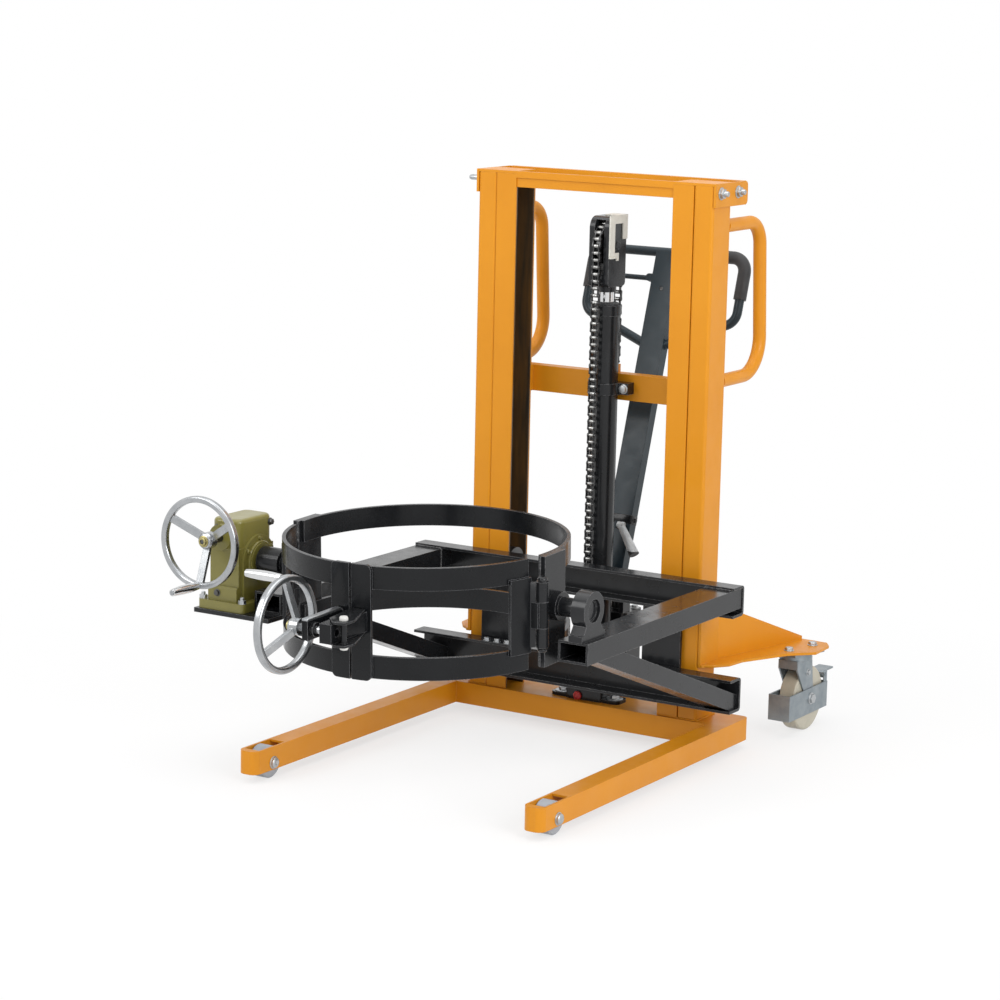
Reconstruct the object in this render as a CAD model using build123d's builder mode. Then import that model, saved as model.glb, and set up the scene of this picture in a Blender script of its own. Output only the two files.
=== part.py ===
from build123d import *
import os
from math import cos, pi, radians, sin

os.makedirs("parts", exist_ok=True)

# Hand stacker that lifts, clamps and tilts a 210 litre drum. Millimetres, +Z up, front towards -Y.
# The origin is on the floor, under the trunnion axis of the drum cage.

# Clearances
running_fit = 0.05          # radial, shaft in bore
side_gap = 0.5              # beside rollers and wheels
face_gap = 0.3              # between faces that move past each other

# Drum cage
drum_radius = 292
band_thickness = 8
band_height = 47
cage_height = 231
axis_height = 454
cage_drop = 7               # middle of the hoops below the trunnion axis
cage_lean = 2.1             # degrees that the cage leans forward at rest
rear_band_overrun = 6       # degrees past the trunnions
door_start = 13.5           # degrees in front of the trunnions
door_gap = 0.4              # degrees, half the gap where the doors meet
door_seam = 3.6             # degrees, where the doors meet, right of the middle
tie_thickness = 8
hinge_plate_arc = 10
hinge_plate_lap = 10
latch_plate_arc = 8.2
latch_plate_rise = 4
latch_plate_corner = 12
trunnion_plate_width = 80
trunnion_plate_thickness = 12
trunnion_radius = 20
trunnion_collar_radius = 30
trunnion_collar_length = 18
hinge_offset_x = 16         # pin axis outside the hoops' outer radius
hinge_forward = 56
hinge_pin_radius = 7
hinge_pin_end = 4
door_leaf_overlap = 18
knuckle_radius = 13
knuckle_height = 54

# Mast
mast_front = 650
mast_depth = 85
mast_half_width = 301.5
post_width = 49
post_wall = 5
post_corner = 7
flange_width = 51
channel_wall = 8
mast_top = 1271
cap_thickness = 6
top_bar_thickness = 9
top_bar_height = 36
top_bar_step = 21
rear_bar_front = 786
rear_bar_thickness = 15
end_plate_thickness = 5.5
end_plate_height = 52

# Base and legs
leg_inner = 332
leg_width = 48
leg_wall = 5
leg_bottom = 19
leg_height = 51
leg_tip = -146
leg_tip_corner = 18
leg_rear_corner = 14
leg_rear = 758
base_front = 643
base_rear = 756
base_wall = 6
leg_axle_y = -81
leg_axle_radius = 8
leg_roller_radius = 35
leg_slot_length = 92

# Lifting cylinder, rod and chain
cylinder_y = 722
cylinder_radius = 31.5
cylinder_bore = 26
cylinder_floor = 14
cylinder_drop = 159         # top of the cylinder below the sheave pin
foot_height = 34
foot_width = 94
foot_ahead = 57             # front of the foot ahead of the cylinder's axis
foot_corner = 6
foot_ear_half = 90
foot_ear_depth = 46
foot_ear_ahead = 30
foot_ear_thickness = 8
foot_bolt_x = 68
gland_height = 24
gland_radius = 34
rod_radius = 17.5
piston_length = 40
piston_clear = 36           # piston above the closed end, rod down
neck_drop = 106             # also below the sheave pin
neck_radius = 21
block_drop = 93
block_rise = 65
block_half_width = 25.5
block_depth = 78
block_slot = 25
block_ahead = 1             # of the cylinder's axis
block_crown = 2             # above the chain in the slot
guard_plate = 3
guard_front_leg = (22, 93)   # width, and drop below the block's top
guard_rear_leg = (20, 52)
guard_bridge = 16
guard_foot = 7
sheave_height = 1114
sheave_radius = 50          # pitch radius
sheave_pin_radius = 9
sheave_hub_radius = 27
chain_front_links = 46
chain_wrap_links = 10
chain_anchor = 13           # shortest fixed end of the rear run
chain_half_height = 6
chain_roller_radius = 4.5
link_plate = 2.5
inner_plate_x = 5.5
link_half_width = 4.5

# Mid crossbar
crossbar_front = 757
crossbar_depth = 32
crossbar_drop = 355         # below the sheave pin
crossbar_height = 60
crossbar_half = 252.5
clamp_left = 42
clamp_right = 58
clamp_height = 26
clamp_strap = 6
clamp_bolt_x = 47

# Pump and tow handle
pump_front = 765
pump_depth = 85
pump_half_width = 48
pump_top = 262
pump_corner = 12
plunger_boss_radius = 19
shelf_thickness = 12
shelf_margin = 8
pivot_y = 777
pivot_z = 314
pivot_pin_radius = 8
ear_inner = 34
ear_thickness = 11
ear_radius = 16
handle_lean = 17.6          # degrees back from upright
handle_arm_width = 60
handle_arm_depth = 28
handle_arm_wall = 5
handle_length = 797         # pivot to the top bar of the loop
loop_half_width = 200
loop_tube_radius = 11
loop_side = 150
loop_foot = 575             # where the loop's legs leave the arm, from the pivot
loop_bend = 34
grip_radius = 15
grip_low = 97               # sleeve's ends, down the side and along the top bar
grip_along = 62
heel_angle = 27.5
heel_arm = 48
heel_radius = 10
heel_lift = 2               # the heel's link clears the plunger by this much
plunger_radius = 12
plunger_length = 110
plunger_play = 0.8
pedal_height = 146          # pedal pivot above the handle's pivot, along the arm
pedal_x = 13
pedal_length = 80
pedal_radius = 8
pedal_end_radius = 12
pedal_splay = 37            # degrees out from the arm
pedal_pin_radius = 3
pedal_lug = 5
lever_drop = 64             # release lever below the loop's top bar, along the arm
lever_length = 88
lever_radius = 6
lever_boss_radius = 9
lever_boss_half = 7.5
lever_pin_radius = 4
lever_ear = 4
hang_hole_drop = 89
hang_hole_radius = 5

# Push handles
push_tube_radius = 15
push_top = 1174
push_bottom = 829
push_reach_top = 171
push_reach_bottom = 196
push_bend_top = 55
push_bend_bottom = 80

# Outriggers and castors
outrigger_plate = 6
outrigger_top = 354
gusset_top = 324
gusset_tip_height = 14
gusset_end = (-29, 79)      # from the castor's swivel, out and back
flange_front = 10.5         # out from the post
flange_knee = (-38, 23)     # from the swivel's X and the back of the mast
flange_outline = [(15, -71), (62, -23), (57, 55), (40, 80), (-60, 85), (-60, -45)]   # from the swivel
castor_top = 194
castor_x = 400
castor_y = 945
castor_trail = 34
castor_plate_thickness = 6
castor_plate_width = 84
castor_plate_length = 104
castor_bolt_out = 14         # outboard of the swivel, along the plate's width
castor_bolt_span = 84
wheel_radius = 75
wheel_width = 40
wheel_axle_radius = 8
fork_wall = 4
swivel_radius = 38
swivel_height = 14
guard_ahead = 111           # front of the toe guard ahead of the axle
guard_length = 196
guard_height = 60
guard_bottom = 40
guard_wall = 2.5
crown_clear = 4
axle_stub = 3
weld_lap = 1                # how far joined plates run into each other
brake_height = 116
brake_reach = 76
brake_pin_radius = 4
brake_boss_radius = 8
brake_length = 56
brake_width = 36

# Carriage
beam_half_length = 417
beam_front = 588
beam_rear = 638
beam_wall = 6
upper_beam_drop = 122       # below the trunnion axis
upper_beam_height = 68
lower_beam_drop = 338
lower_beam_height = 76
bracket_inner = 165
bracket_outer = 262
bracket_wall = 8
roller_wall_x = 183
roller_wall = 10
roller_wall_depth = 62
axle_radius = 12
axle_shoulder_radius = 17
roller_width = 32
roller_start = 205
roller_rise_low = 50
roller_rise_high = 36
arm_inner = 345
arm_width = 70
arm_height = 45
arm_wall = 5
arm_front = -40
brace_width = 60
brace_height = 42
brace_front = 2
chain_bracket_half = 14
chain_bracket_height = 48
chain_bracket_drop = 76

# Bearings and tilting gearbox
pillow_x = 372
pillow_length = 32
pillow_radius = 40
pillow_neck = 26
pillow_recess = 8
pillow_recess_radius = 24
pillow_base_length = 92
pillow_base_height = 14
platform_thickness = 10
platform_margin = 5
gearbox_x = -477
gearbox_base_half = 61
gearbox_base_front = -82
gearbox_base_rear = 70
gearbox_base_height = 20
gearbox_half_width = 38
gearbox_front = -66
gearbox_rear = 58
gearbox_ledge = 8           # lower part of the front stands out by this
gearbox_ledge_height = 32
gearbox_tank = (31, 94)     # bottom and top of the worm's tank above the axis
tank_corner = 20
tank_edge = 9
worm_offset = 56
worm_boss_radius = 28
output_boss_radius = 38
output_boss_length = 15
output_pad_radius = 55
output_pad = 6
wheel_gear_radius = 41
wheel_gear_width = 28
worm_radius = 14.5
worm_half_length = 34
worm_journal = 10
worm_journal_end = 15       # past the worm, at the back
worm_clear = 3
worm_nose = 18              # bearing boss in front of the housing
gear_clear = 2
gearbox_corner = 10
coupling_radius = 31
coupling_start = -420
coupling_length = 55

# Handwheels
handwheel_radius = 100
rim_width = 16
rim_thickness = 14
hub_radius = 18
hub_length = 26
hub_round = 7
wheel_dish = 26             # rim's middle in front of the hub's middle
spoke_width = 17
spoke_thickness = 8
tilt_hub_y = -114
handgrip_length = 88
handgrip_radius = 10
handgrip_pin = 5
handgrip_inner_end = 8
handgrip_outer_end = 7.5

# Door clamp
screw_y = -409
screw_drop = 3              # below the trunnion axis
screw_radius = 8
lug_height = 40
lug_left_start = -12
lug_left_length = 14
collar_length = 8
collar_radius = 15
nut_start = 30
nut_length = 28
clamp_hub_end = -27

# Bolt heads
bolt_radius = 8
bolt_head = 6
axle_head_radius = 11
end_bolt_radius = 10
end_bolt_drop = 22          # below the mast's top
end_bolt_front = 25         # behind the mast's front
end_bolt_rear = 32          # in front of the rear bar

# Worked out from the above
band_outer = drum_radius + band_thickness
cage_middle = axis_height - cage_drop
cage_bottom = cage_middle - cage_height / 2
cage_top = cage_middle + cage_height / 2
hinge_x = band_outer + hinge_offset_x
trunnion_face = band_outer + trunnion_plate_thickness
mast_rear = mast_front + mast_depth
post_inner = mast_half_width - post_width
channel_inner = post_inner - flange_width
leg_outer = leg_inner + leg_width
leg_top = leg_bottom + leg_height
foot_top = leg_top + foot_height
cylinder_top = sheave_height - cylinder_drop
neck_bottom = sheave_height - neck_drop
block_bottom = sheave_height - block_drop
block_top = sheave_height + block_rise
crossbar_bottom = sheave_height - crossbar_drop
upper_beam_bottom = axis_height - upper_beam_drop
lower_beam_bottom = axis_height - lower_beam_drop
chain_bracket_top = axis_height - chain_bracket_drop
screw_z = axis_height - screw_drop
gland_top = cylinder_top + gland_height
block_front = cylinder_y - block_depth / 2 - block_ahead
block_rear = block_front + block_depth
chain_front_y = cylinder_y - sheave_radius
chain_rear_y = cylinder_y + sheave_radius
crossbar_top = crossbar_bottom + crossbar_height
upper_beam_top = upper_beam_bottom + upper_beam_height
arm_top = upper_beam_top - beam_wall
arm_bottom = arm_top - arm_height
arm_outer = arm_inner + arm_width
web_front = beam_rear - beam_wall
roller_y = mast_front + mast_depth / 2
carriage_roller_radius = mast_depth / 2 - channel_wall - face_gap
axle_low = lower_beam_bottom + roller_rise_low
axle_high = upper_beam_top - roller_rise_high
worm_z = axis_height + worm_offset
gearbox_seat = arm_bottom
pump_rear = pump_front + pump_depth
wheel_y = castor_y + castor_trail
fork_outer = wheel_width / 2 + side_gap + fork_wall
end_plate_rear = rear_bar_front + rear_bar_thickness
lever_pivot_x = -handle_arm_width / 2 - lever_boss_radius - face_gap
lever_height = handle_length - lever_drop
hang_hole_height = handle_length - hang_hole_drop
lean = radians(handle_lean)
handle_plane = Plane(origin=(0, pivot_y, pivot_z), x_dir=(1, 0, 0), z_dir=(0, -cos(lean), sin(lean)))


# A block between two corners, given as spans along X, Y and Z
def slab(x, y, z, mode=Mode.ADD):
    with Locations(((x[0] + x[1]) / 2, (y[0] + y[1]) / 2, (z[0] + z[1]) / 2)):
        Box(x[1] - x[0], y[1] - y[0], z[1] - z[0], mode=mode)


# Round bars along each axis, given by their span and the place of their centre line
def bar_x(x, y, z, radius, mode=Mode.ADD):
    with Locations(((x[0] + x[1]) / 2, y, z)):
        Cylinder(radius, x[1] - x[0], rotation=(0, 90, 0), mode=mode)


def bar_y(x, y, z, radius, mode=Mode.ADD):
    with Locations((x, (y[0] + y[1]) / 2, z)):
        Cylinder(radius, y[1] - y[0], rotation=(90, 0, 0), mode=mode)


def bar_z(x, y, z, radius, mode=Mode.ADD):
    with Locations((x, y, (z[0] + z[1]) / 2)):
        Cylinder(radius, z[1] - z[0], mode=mode)


# Upright plane through the Z axis, turned to an angle seen from above
def spoke_plane(angle):
    a = radians(angle)
    return Plane(origin=(0, 0, 0), x_dir=(cos(a), sin(a), 0), z_dir=(sin(a), -cos(a), 0))


# Base crossmember, a box tube with a shelf for the pump behind it
with BuildPart() as base_crossmember:
    with BuildSketch(Plane.YZ.offset(-leg_inner)):
        with Locations(((base_front + base_rear) / 2, leg_bottom + leg_height / 2)):
            Rectangle(base_rear - base_front, leg_height)
            Rectangle(base_rear - base_front - 2 * base_wall, leg_height - 2 * base_wall, mode=Mode.SUBTRACT)
    extrude(amount=2 * leg_inner)
    slab((-pump_half_width - shelf_margin, pump_half_width + shelf_margin),
         (base_rear, pump_rear + shelf_margin), (leg_top - shelf_thickness, leg_top))

# Straddle legs, bent round at the tip, open below and slotted over the roller
with BuildPart() as straddle_legs:
    with BuildSketch(Plane.XY.offset(leg_bottom)) as leg_plan:
        with Locations((leg_inner + leg_width / 2, (leg_tip + leg_rear) / 2)):
            Rectangle(leg_width, leg_rear - leg_tip)
        fillet(leg_plan.vertices().group_by(Axis.Y)[0], leg_tip_corner)
        fillet(leg_plan.vertices().group_by(Axis.Y)[-1].sort_by(Axis.X)[-1], leg_rear_corner)
    extrude(amount=leg_height)
    inside_x = (leg_inner + leg_wall, leg_outer - leg_wall)
    slab(inside_x, (leg_tip + leg_wall, leg_rear - leg_wall), (leg_bottom, leg_top - leg_wall), Mode.SUBTRACT)
    slab(inside_x, (leg_axle_y - leg_slot_length / 2, leg_axle_y + leg_slot_length / 2),
         (leg_top - leg_wall, leg_top), Mode.SUBTRACT)
    bar_x((leg_inner, leg_outer), leg_axle_y, leg_roller_radius, leg_axle_radius, Mode.SUBTRACT)
    mirror(about=Plane.YZ)

# Outer posts, box tubes with rounded corners
with BuildPart() as outer_posts:
    with BuildSketch(Plane.XY.offset(leg_top)):
        with Locations((post_inner + post_width / 2, roller_y)):
            RectangleRounded(post_width, mast_depth, post_corner)
            Rectangle(post_width - 2 * post_wall, mast_depth - 2 * post_wall, mode=Mode.SUBTRACT)
    extrude(amount=mast_top - cap_thickness - leg_top)
    mirror(about=Plane.YZ)

# Mast channels, open inwards, in which the carriage rollers run
with BuildPart() as mast_channels:
    with BuildSketch(Plane.XY.offset(leg_top)):
        with Locations((post_inner - flange_width / 2, roller_y)):
            Rectangle(flange_width, mast_depth)
        with Locations((post_inner - channel_wall - flange_width / 2, roller_y)):
            Rectangle(flange_width, mast_depth - 2 * channel_wall, mode=Mode.SUBTRACT)
    extrude(amount=mast_top - cap_thickness - leg_top)
    mirror(about=Plane.YZ)

# Top bars: the stepped front bar with the caps over the posts, and the rear bar
with BuildPart() as top_bars:
    bar_low = mast_top - top_bar_height
    slab((-channel_inner, channel_inner), (mast_front, mast_front + top_bar_thickness), (bar_low, mast_top))
    slab((-channel_inner, channel_inner), (mast_front, mast_front + top_bar_thickness / 3),
         (bar_low, bar_low + top_bar_step), Mode.SUBTRACT)
    for side in (-1, 1):
        cap_x = sorted((side * channel_inner, side * mast_half_width))
        slab(cap_x, (mast_front, mast_rear), (mast_top - cap_thickness, mast_top))
    slab((-mast_half_width, mast_half_width), (rear_bar_front, end_plate_rear), (bar_low, mast_top))

# Plates that tie the posts to the rear bar
with BuildPart() as top_end_plates:
    with BuildSketch(Plane.YZ.offset(mast_half_width)) as end_plate:
        with Locations(((mast_front + end_plate_rear) / 2, mast_top - end_plate_height / 2)):
            Rectangle(end_plate_rear - mast_front, end_plate_height)
        fillet(end_plate.vertices().group_by(Axis.X)[-1], end_plate_height / 5)
    extrude(amount=end_plate_thickness)
    mirror(about=Plane.YZ)

# Mid crossbar, a tube on pads behind the posts, with the fixed end of the chain on top
link_pitch = (sheave_height - chain_bracket_top - chain_half_height) / chain_front_links
chain_rear_links = int((sheave_height - crossbar_top - chain_anchor) / link_pitch)
chain_rear_end = sheave_height - chain_rear_links * link_pitch - chain_half_height
with BuildPart() as mid_crossbar:
    crossbar_rear = crossbar_front + crossbar_depth
    slab((-crossbar_half, crossbar_half), (crossbar_front, crossbar_rear), (crossbar_bottom, crossbar_top))
    slab((-crossbar_half, crossbar_half), (crossbar_front + post_wall, crossbar_rear - post_wall),
         (crossbar_bottom + post_wall, crossbar_top - post_wall), Mode.SUBTRACT)
    for side in (-1, 1):
        pad_x = sorted((side * (channel_inner + channel_wall), side * crossbar_half))
        slab(pad_x, (mast_rear, crossbar_front), (crossbar_bottom, crossbar_top))
    slab((-inner_plate_x - 2 * link_plate, inner_plate_x + 2 * link_plate),
         (chain_rear_y - chain_half_height, chain_rear_y + chain_half_height), (crossbar_top, chain_rear_end))

# Outriggers: plate on the post, gusset slanting out, and the flange that carries the castor
outrigger_run = (castor_x + gusset_end[0] - mast_half_width, castor_y + gusset_end[1] - mast_rear)
outrigger_length = (outrigger_run[0] ** 2 + outrigger_run[1] ** 2) ** 0.5
flange_top = castor_top + outrigger_plate
flange_plan = [
    (mast_half_width, mast_front),
    (mast_half_width + flange_front, mast_front),
    (castor_x + flange_knee[0], mast_rear + flange_knee[1]),
    *((castor_x + out, castor_y + back) for out, back in flange_outline),
    (mast_half_width, mast_rear + 2 * outrigger_plate),
]
with BuildPart() as outriggers:
    with BuildSketch(Plane.XY.offset(castor_top)):
        with BuildLine():
            Polyline(*flange_plan, close=True)
        make_face()
    extrude(amount=outrigger_plate)
    slab((mast_half_width, mast_half_width + outrigger_plate), (mast_front, mast_rear),
         (castor_top, outrigger_top))
    gusset_plane = Plane(
        origin=(mast_half_width, mast_rear, castor_top),
        x_dir=(outrigger_run[0], outrigger_run[1], 0),
        z_dir=(outrigger_run[1], -outrigger_run[0], 0),
    )
    with BuildSketch(gusset_plane):
        with BuildLine():
            Polyline(
                (0, 0),
                (outrigger_length, 0),
                (outrigger_length, gusset_tip_height),
                (0, gusset_top - castor_top),
                close=True,
            )
        make_face()
    extrude(amount=outrigger_plate)
    mirror(about=Plane.YZ)

# Push handles, bent tube behind each post
push_x = mast_half_width - push_tube_radius
with BuildPart() as push_handles:
    with BuildLine() as push_path:
        FilletPolyline(
            (push_x, mast_rear, push_top),
            (push_x, mast_rear + push_reach_top, push_top),
            (push_x, mast_rear + push_reach_bottom, push_bottom),
            (push_x, mast_rear, push_bottom),
            radius=(push_bend_top, push_bend_bottom),
        )
    with BuildSketch(Plane(origin=push_path.line @ 0, z_dir=push_path.line % 0)):
        Circle(push_tube_radius)
    sweep()
    mirror(about=Plane.YZ)

# Lifting cylinder: foot, tube, gland and the clamp on the crossbar
foot_ear_y = cylinder_y - foot_ear_ahead
foot_ear_top = leg_top + foot_ear_thickness
with BuildPart() as cylinder_foot:
    slab((-foot_width / 2, foot_width / 2), (cylinder_y - foot_ahead, base_rear), (leg_top, foot_top))
    fillet(cylinder_foot.edges().filter_by(Axis.Z), foot_corner)
    with BuildSketch(Plane.XY.offset(leg_top)):
        with Locations((0, foot_ear_y)):
            RectangleRounded(2 * foot_ear_half, foot_ear_depth, foot_ear_depth / 4)
    extrude(amount=foot_ear_thickness)

with BuildPart() as lift_cylinder:
    bar_z(0, cylinder_y, (foot_top, cylinder_top), cylinder_radius)
    bar_z(0, cylinder_y, (foot_top + cylinder_floor, cylinder_top), cylinder_bore, Mode.SUBTRACT)

with BuildPart() as cylinder_gland:
    bar_z(0, cylinder_y, (cylinder_top, gland_top), gland_radius)
    bar_z(0, cylinder_y, (cylinder_top, gland_top), rod_radius + running_fit, Mode.SUBTRACT)

with BuildPart() as cylinder_clamp:
    clamp_z = (crossbar_bottom + (crossbar_height - clamp_height) / 2,
               crossbar_bottom + (crossbar_height + clamp_height) / 2)
    slab((-clamp_left, clamp_right), (cylinder_y + clamp_strap, crossbar_front), clamp_z)
    bar_z(0, cylinder_y, clamp_z, cylinder_radius + clamp_strap)
    slab((-clamp_left, clamp_right), (crossbar_front, crossbar_front + crossbar_depth), clamp_z,
         Mode.SUBTRACT)
    bar_z(0, cylinder_y, clamp_z, cylinder_radius + running_fit, Mode.SUBTRACT)

# Rod with its piston, and the block that carries the sheave
piston_bottom = foot_top + cylinder_floor + piston_clear
with BuildPart() as lift_rod:
    bar_z(0, cylinder_y, (piston_bottom, neck_bottom), rod_radius)
    bar_z(0, cylinder_y, (piston_bottom, piston_bottom + piston_length), cylinder_bore - running_fit)

with BuildPart() as sheave_block:
    with BuildSketch(Plane.YZ.offset(-block_half_width)) as block_side:
        with Locations(((block_front + block_rear) / 2, (block_bottom + block_top) / 2)):
            Rectangle(block_depth, block_top - block_bottom)
        fillet(block_side.vertices().group_by(Axis.Y)[-1].sort_by(Axis.X)[0], block_depth / 3)
        fillet(block_side.vertices().group_by(Axis.Y)[0], block_depth / 8)
    extrude(amount=2 * block_half_width)
    slot_top = sheave_height + sheave_radius + chain_half_height + block_crown
    slab((-block_slot / 2, block_slot / 2), (block_front, block_rear),
         (sheave_height - sheave_radius - block_slot / 2, slot_top), Mode.SUBTRACT)
    bar_z(0, cylinder_y, (neck_bottom, block_bottom), neck_radius)
    pin_half = block_half_width + guard_plate
    bar_x((-pin_half, pin_half), cylinder_y, sheave_height, sheave_pin_radius)

# Guard on the right of the block: two legs under a bridge, and a plate over the top
with BuildPart() as sheave_guard:
    guard_x = (block_half_width, block_half_width + guard_plate)
    guard_top = block_top + guard_plate
    front_leg_y = (block_front, block_front + guard_front_leg[0])
    front_leg_low = block_top - guard_front_leg[1]
    slab(guard_x, front_leg_y, (front_leg_low, guard_top))
    slab(guard_x, (block_rear - guard_rear_leg[0], block_rear), (block_top - guard_rear_leg[1], guard_top))
    slab(guard_x, (block_front, block_rear), (block_top - guard_bridge, guard_top))
    slab((block_half_width, block_half_width + guard_foot), front_leg_y,
         (front_leg_low, front_leg_low + guard_plate))
    slab((-block_half_width / 3, block_half_width), (block_front + block_depth / 2, block_rear),
         (block_top, guard_top))
    bar_x(guard_x, cylinder_y, sheave_height, sheave_pin_radius + running_fit, Mode.SUBTRACT)

sheave_half = inner_plate_x - side_gap
sheave_root = sheave_radius - chain_roller_radius - side_gap
with BuildPart() as chain_sheave:
    bar_x((-sheave_half, sheave_half), cylinder_y, sheave_height, sheave_root)
    hub_half = block_slot / 2 - side_gap
    bar_x((-hub_half, hub_half), cylinder_y, sheave_height, sheave_hub_radius)
    bar_x((-block_slot / 2, block_slot / 2), cylinder_y, sheave_height, sheave_pin_radius + running_fit,
          Mode.SUBTRACT)


# Roller chain along a list of pin centres in the YZ plane: rollers, inner links and outer links.
# Each link plate is a hexagon stretched from pin to pin.
def chain_run(pins, starts_outer):
    inner_links = []
    outer_links = []
    for count, (near, far) in enumerate(zip(pins, pins[1:])):
        way = (far - near).normalized()
        along = way * chain_half_height
        across = way.rotate(Axis.Z, 90) * link_half_width
        outline = [near - along, near - across, far - across, far + along, far + across, near + across]
        if count % 2 == starts_outer:
            outer_links.append(outline)
        else:
            inner_links.append(outline)
    layers = ((inner_links, inner_plate_x), (outer_links, inner_plate_x + link_plate))
    with BuildPart() as run:
        with BuildSketch(Plane.YZ.offset(-inner_plate_x)):
            for pin in pins:
                with Locations((pin.X, pin.Y)):
                    RegularPolygon(chain_roller_radius, 8)
        extrude(amount=2 * inner_plate_x)
        pin_half = inner_plate_x + 2 * link_plate
        with BuildSketch(Plane.YZ.offset(-pin_half)):
            for pin in (pins[0], pins[-1]):
                with Locations((pin.X, pin.Y)):
                    RegularPolygon(link_plate, 6)
        extrude(amount=2 * pin_half)
        for links, start in layers:
            with BuildSketch(Plane.YZ.offset(start)):
                for outline in links:
                    with BuildLine():
                        Polyline(*outline, close=True)
                    make_face()
            extrude(amount=link_plate)
            with BuildSketch(Plane.YZ.offset(-start)):
                for outline in links:
                    with BuildLine():
                        Polyline(*outline, close=True)
                    make_face()
            extrude(amount=-link_plate)
    return run


front_pins = [Vector(chain_front_y, sheave_height - link_pitch * (chain_front_links - k))
              for k in range(chain_front_links + 1)]
wrap_step = pi / chain_wrap_links
wrap_pins = [Vector(cylinder_y - sheave_radius * cos(k * wrap_step),
                    sheave_height + sheave_radius * sin(k * wrap_step))
             for k in range(chain_wrap_links + 1)]
rear_pins = [Vector(chain_rear_y, sheave_height - link_pitch * k) for k in range(chain_rear_links + 1)]

# The runs stop half a link short of the wrap's first and last pins, so that no two share a pin
chain_front = chain_run(front_pins[:-1], 0)
chain_wrap = chain_run(wrap_pins, 0)
chain_rear = chain_run(rear_pins[1:], 0)

# Pump block behind the cylinder, with the ears of the handle's pivot and the plunger's bore
plunger_y = pivot_y + heel_arm * cos(radians(heel_angle))
plunger_top = pivot_z + heel_arm * sin(radians(heel_angle)) - heel_radius - plunger_play
with BuildPart() as pump_block:
    with BuildSketch(Plane.XY.offset(leg_top)):
        with Locations((0, (pump_front + pump_rear) / 2)):
            RectangleRounded(2 * pump_half_width, pump_depth, pump_corner)
    extrude(amount=pump_top - leg_top)
    for side in (-1, 1):
        ear_x = sorted((side * ear_inner, side * (ear_inner + ear_thickness)))
        slab(ear_x, (pivot_y - ear_radius, pivot_y + ear_radius), (pump_top, pivot_z))
        bar_x(ear_x, pivot_y, pivot_z, ear_radius)
    bar_z(0, plunger_y, (pump_top, pump_top + ear_radius), plunger_boss_radius)
    bar_z(0, plunger_y, (plunger_top - plunger_length - 2 * heel_arm, pump_top + ear_radius),
          plunger_radius + running_fit, Mode.SUBTRACT)
    bar_x((-pump_half_width, pump_half_width), pivot_y, pivot_z, pivot_pin_radius, Mode.SUBTRACT)

with BuildPart() as pump_plunger:
    bar_z(0, plunger_y, (plunger_top - plunger_length, plunger_top), plunger_radius)

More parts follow.
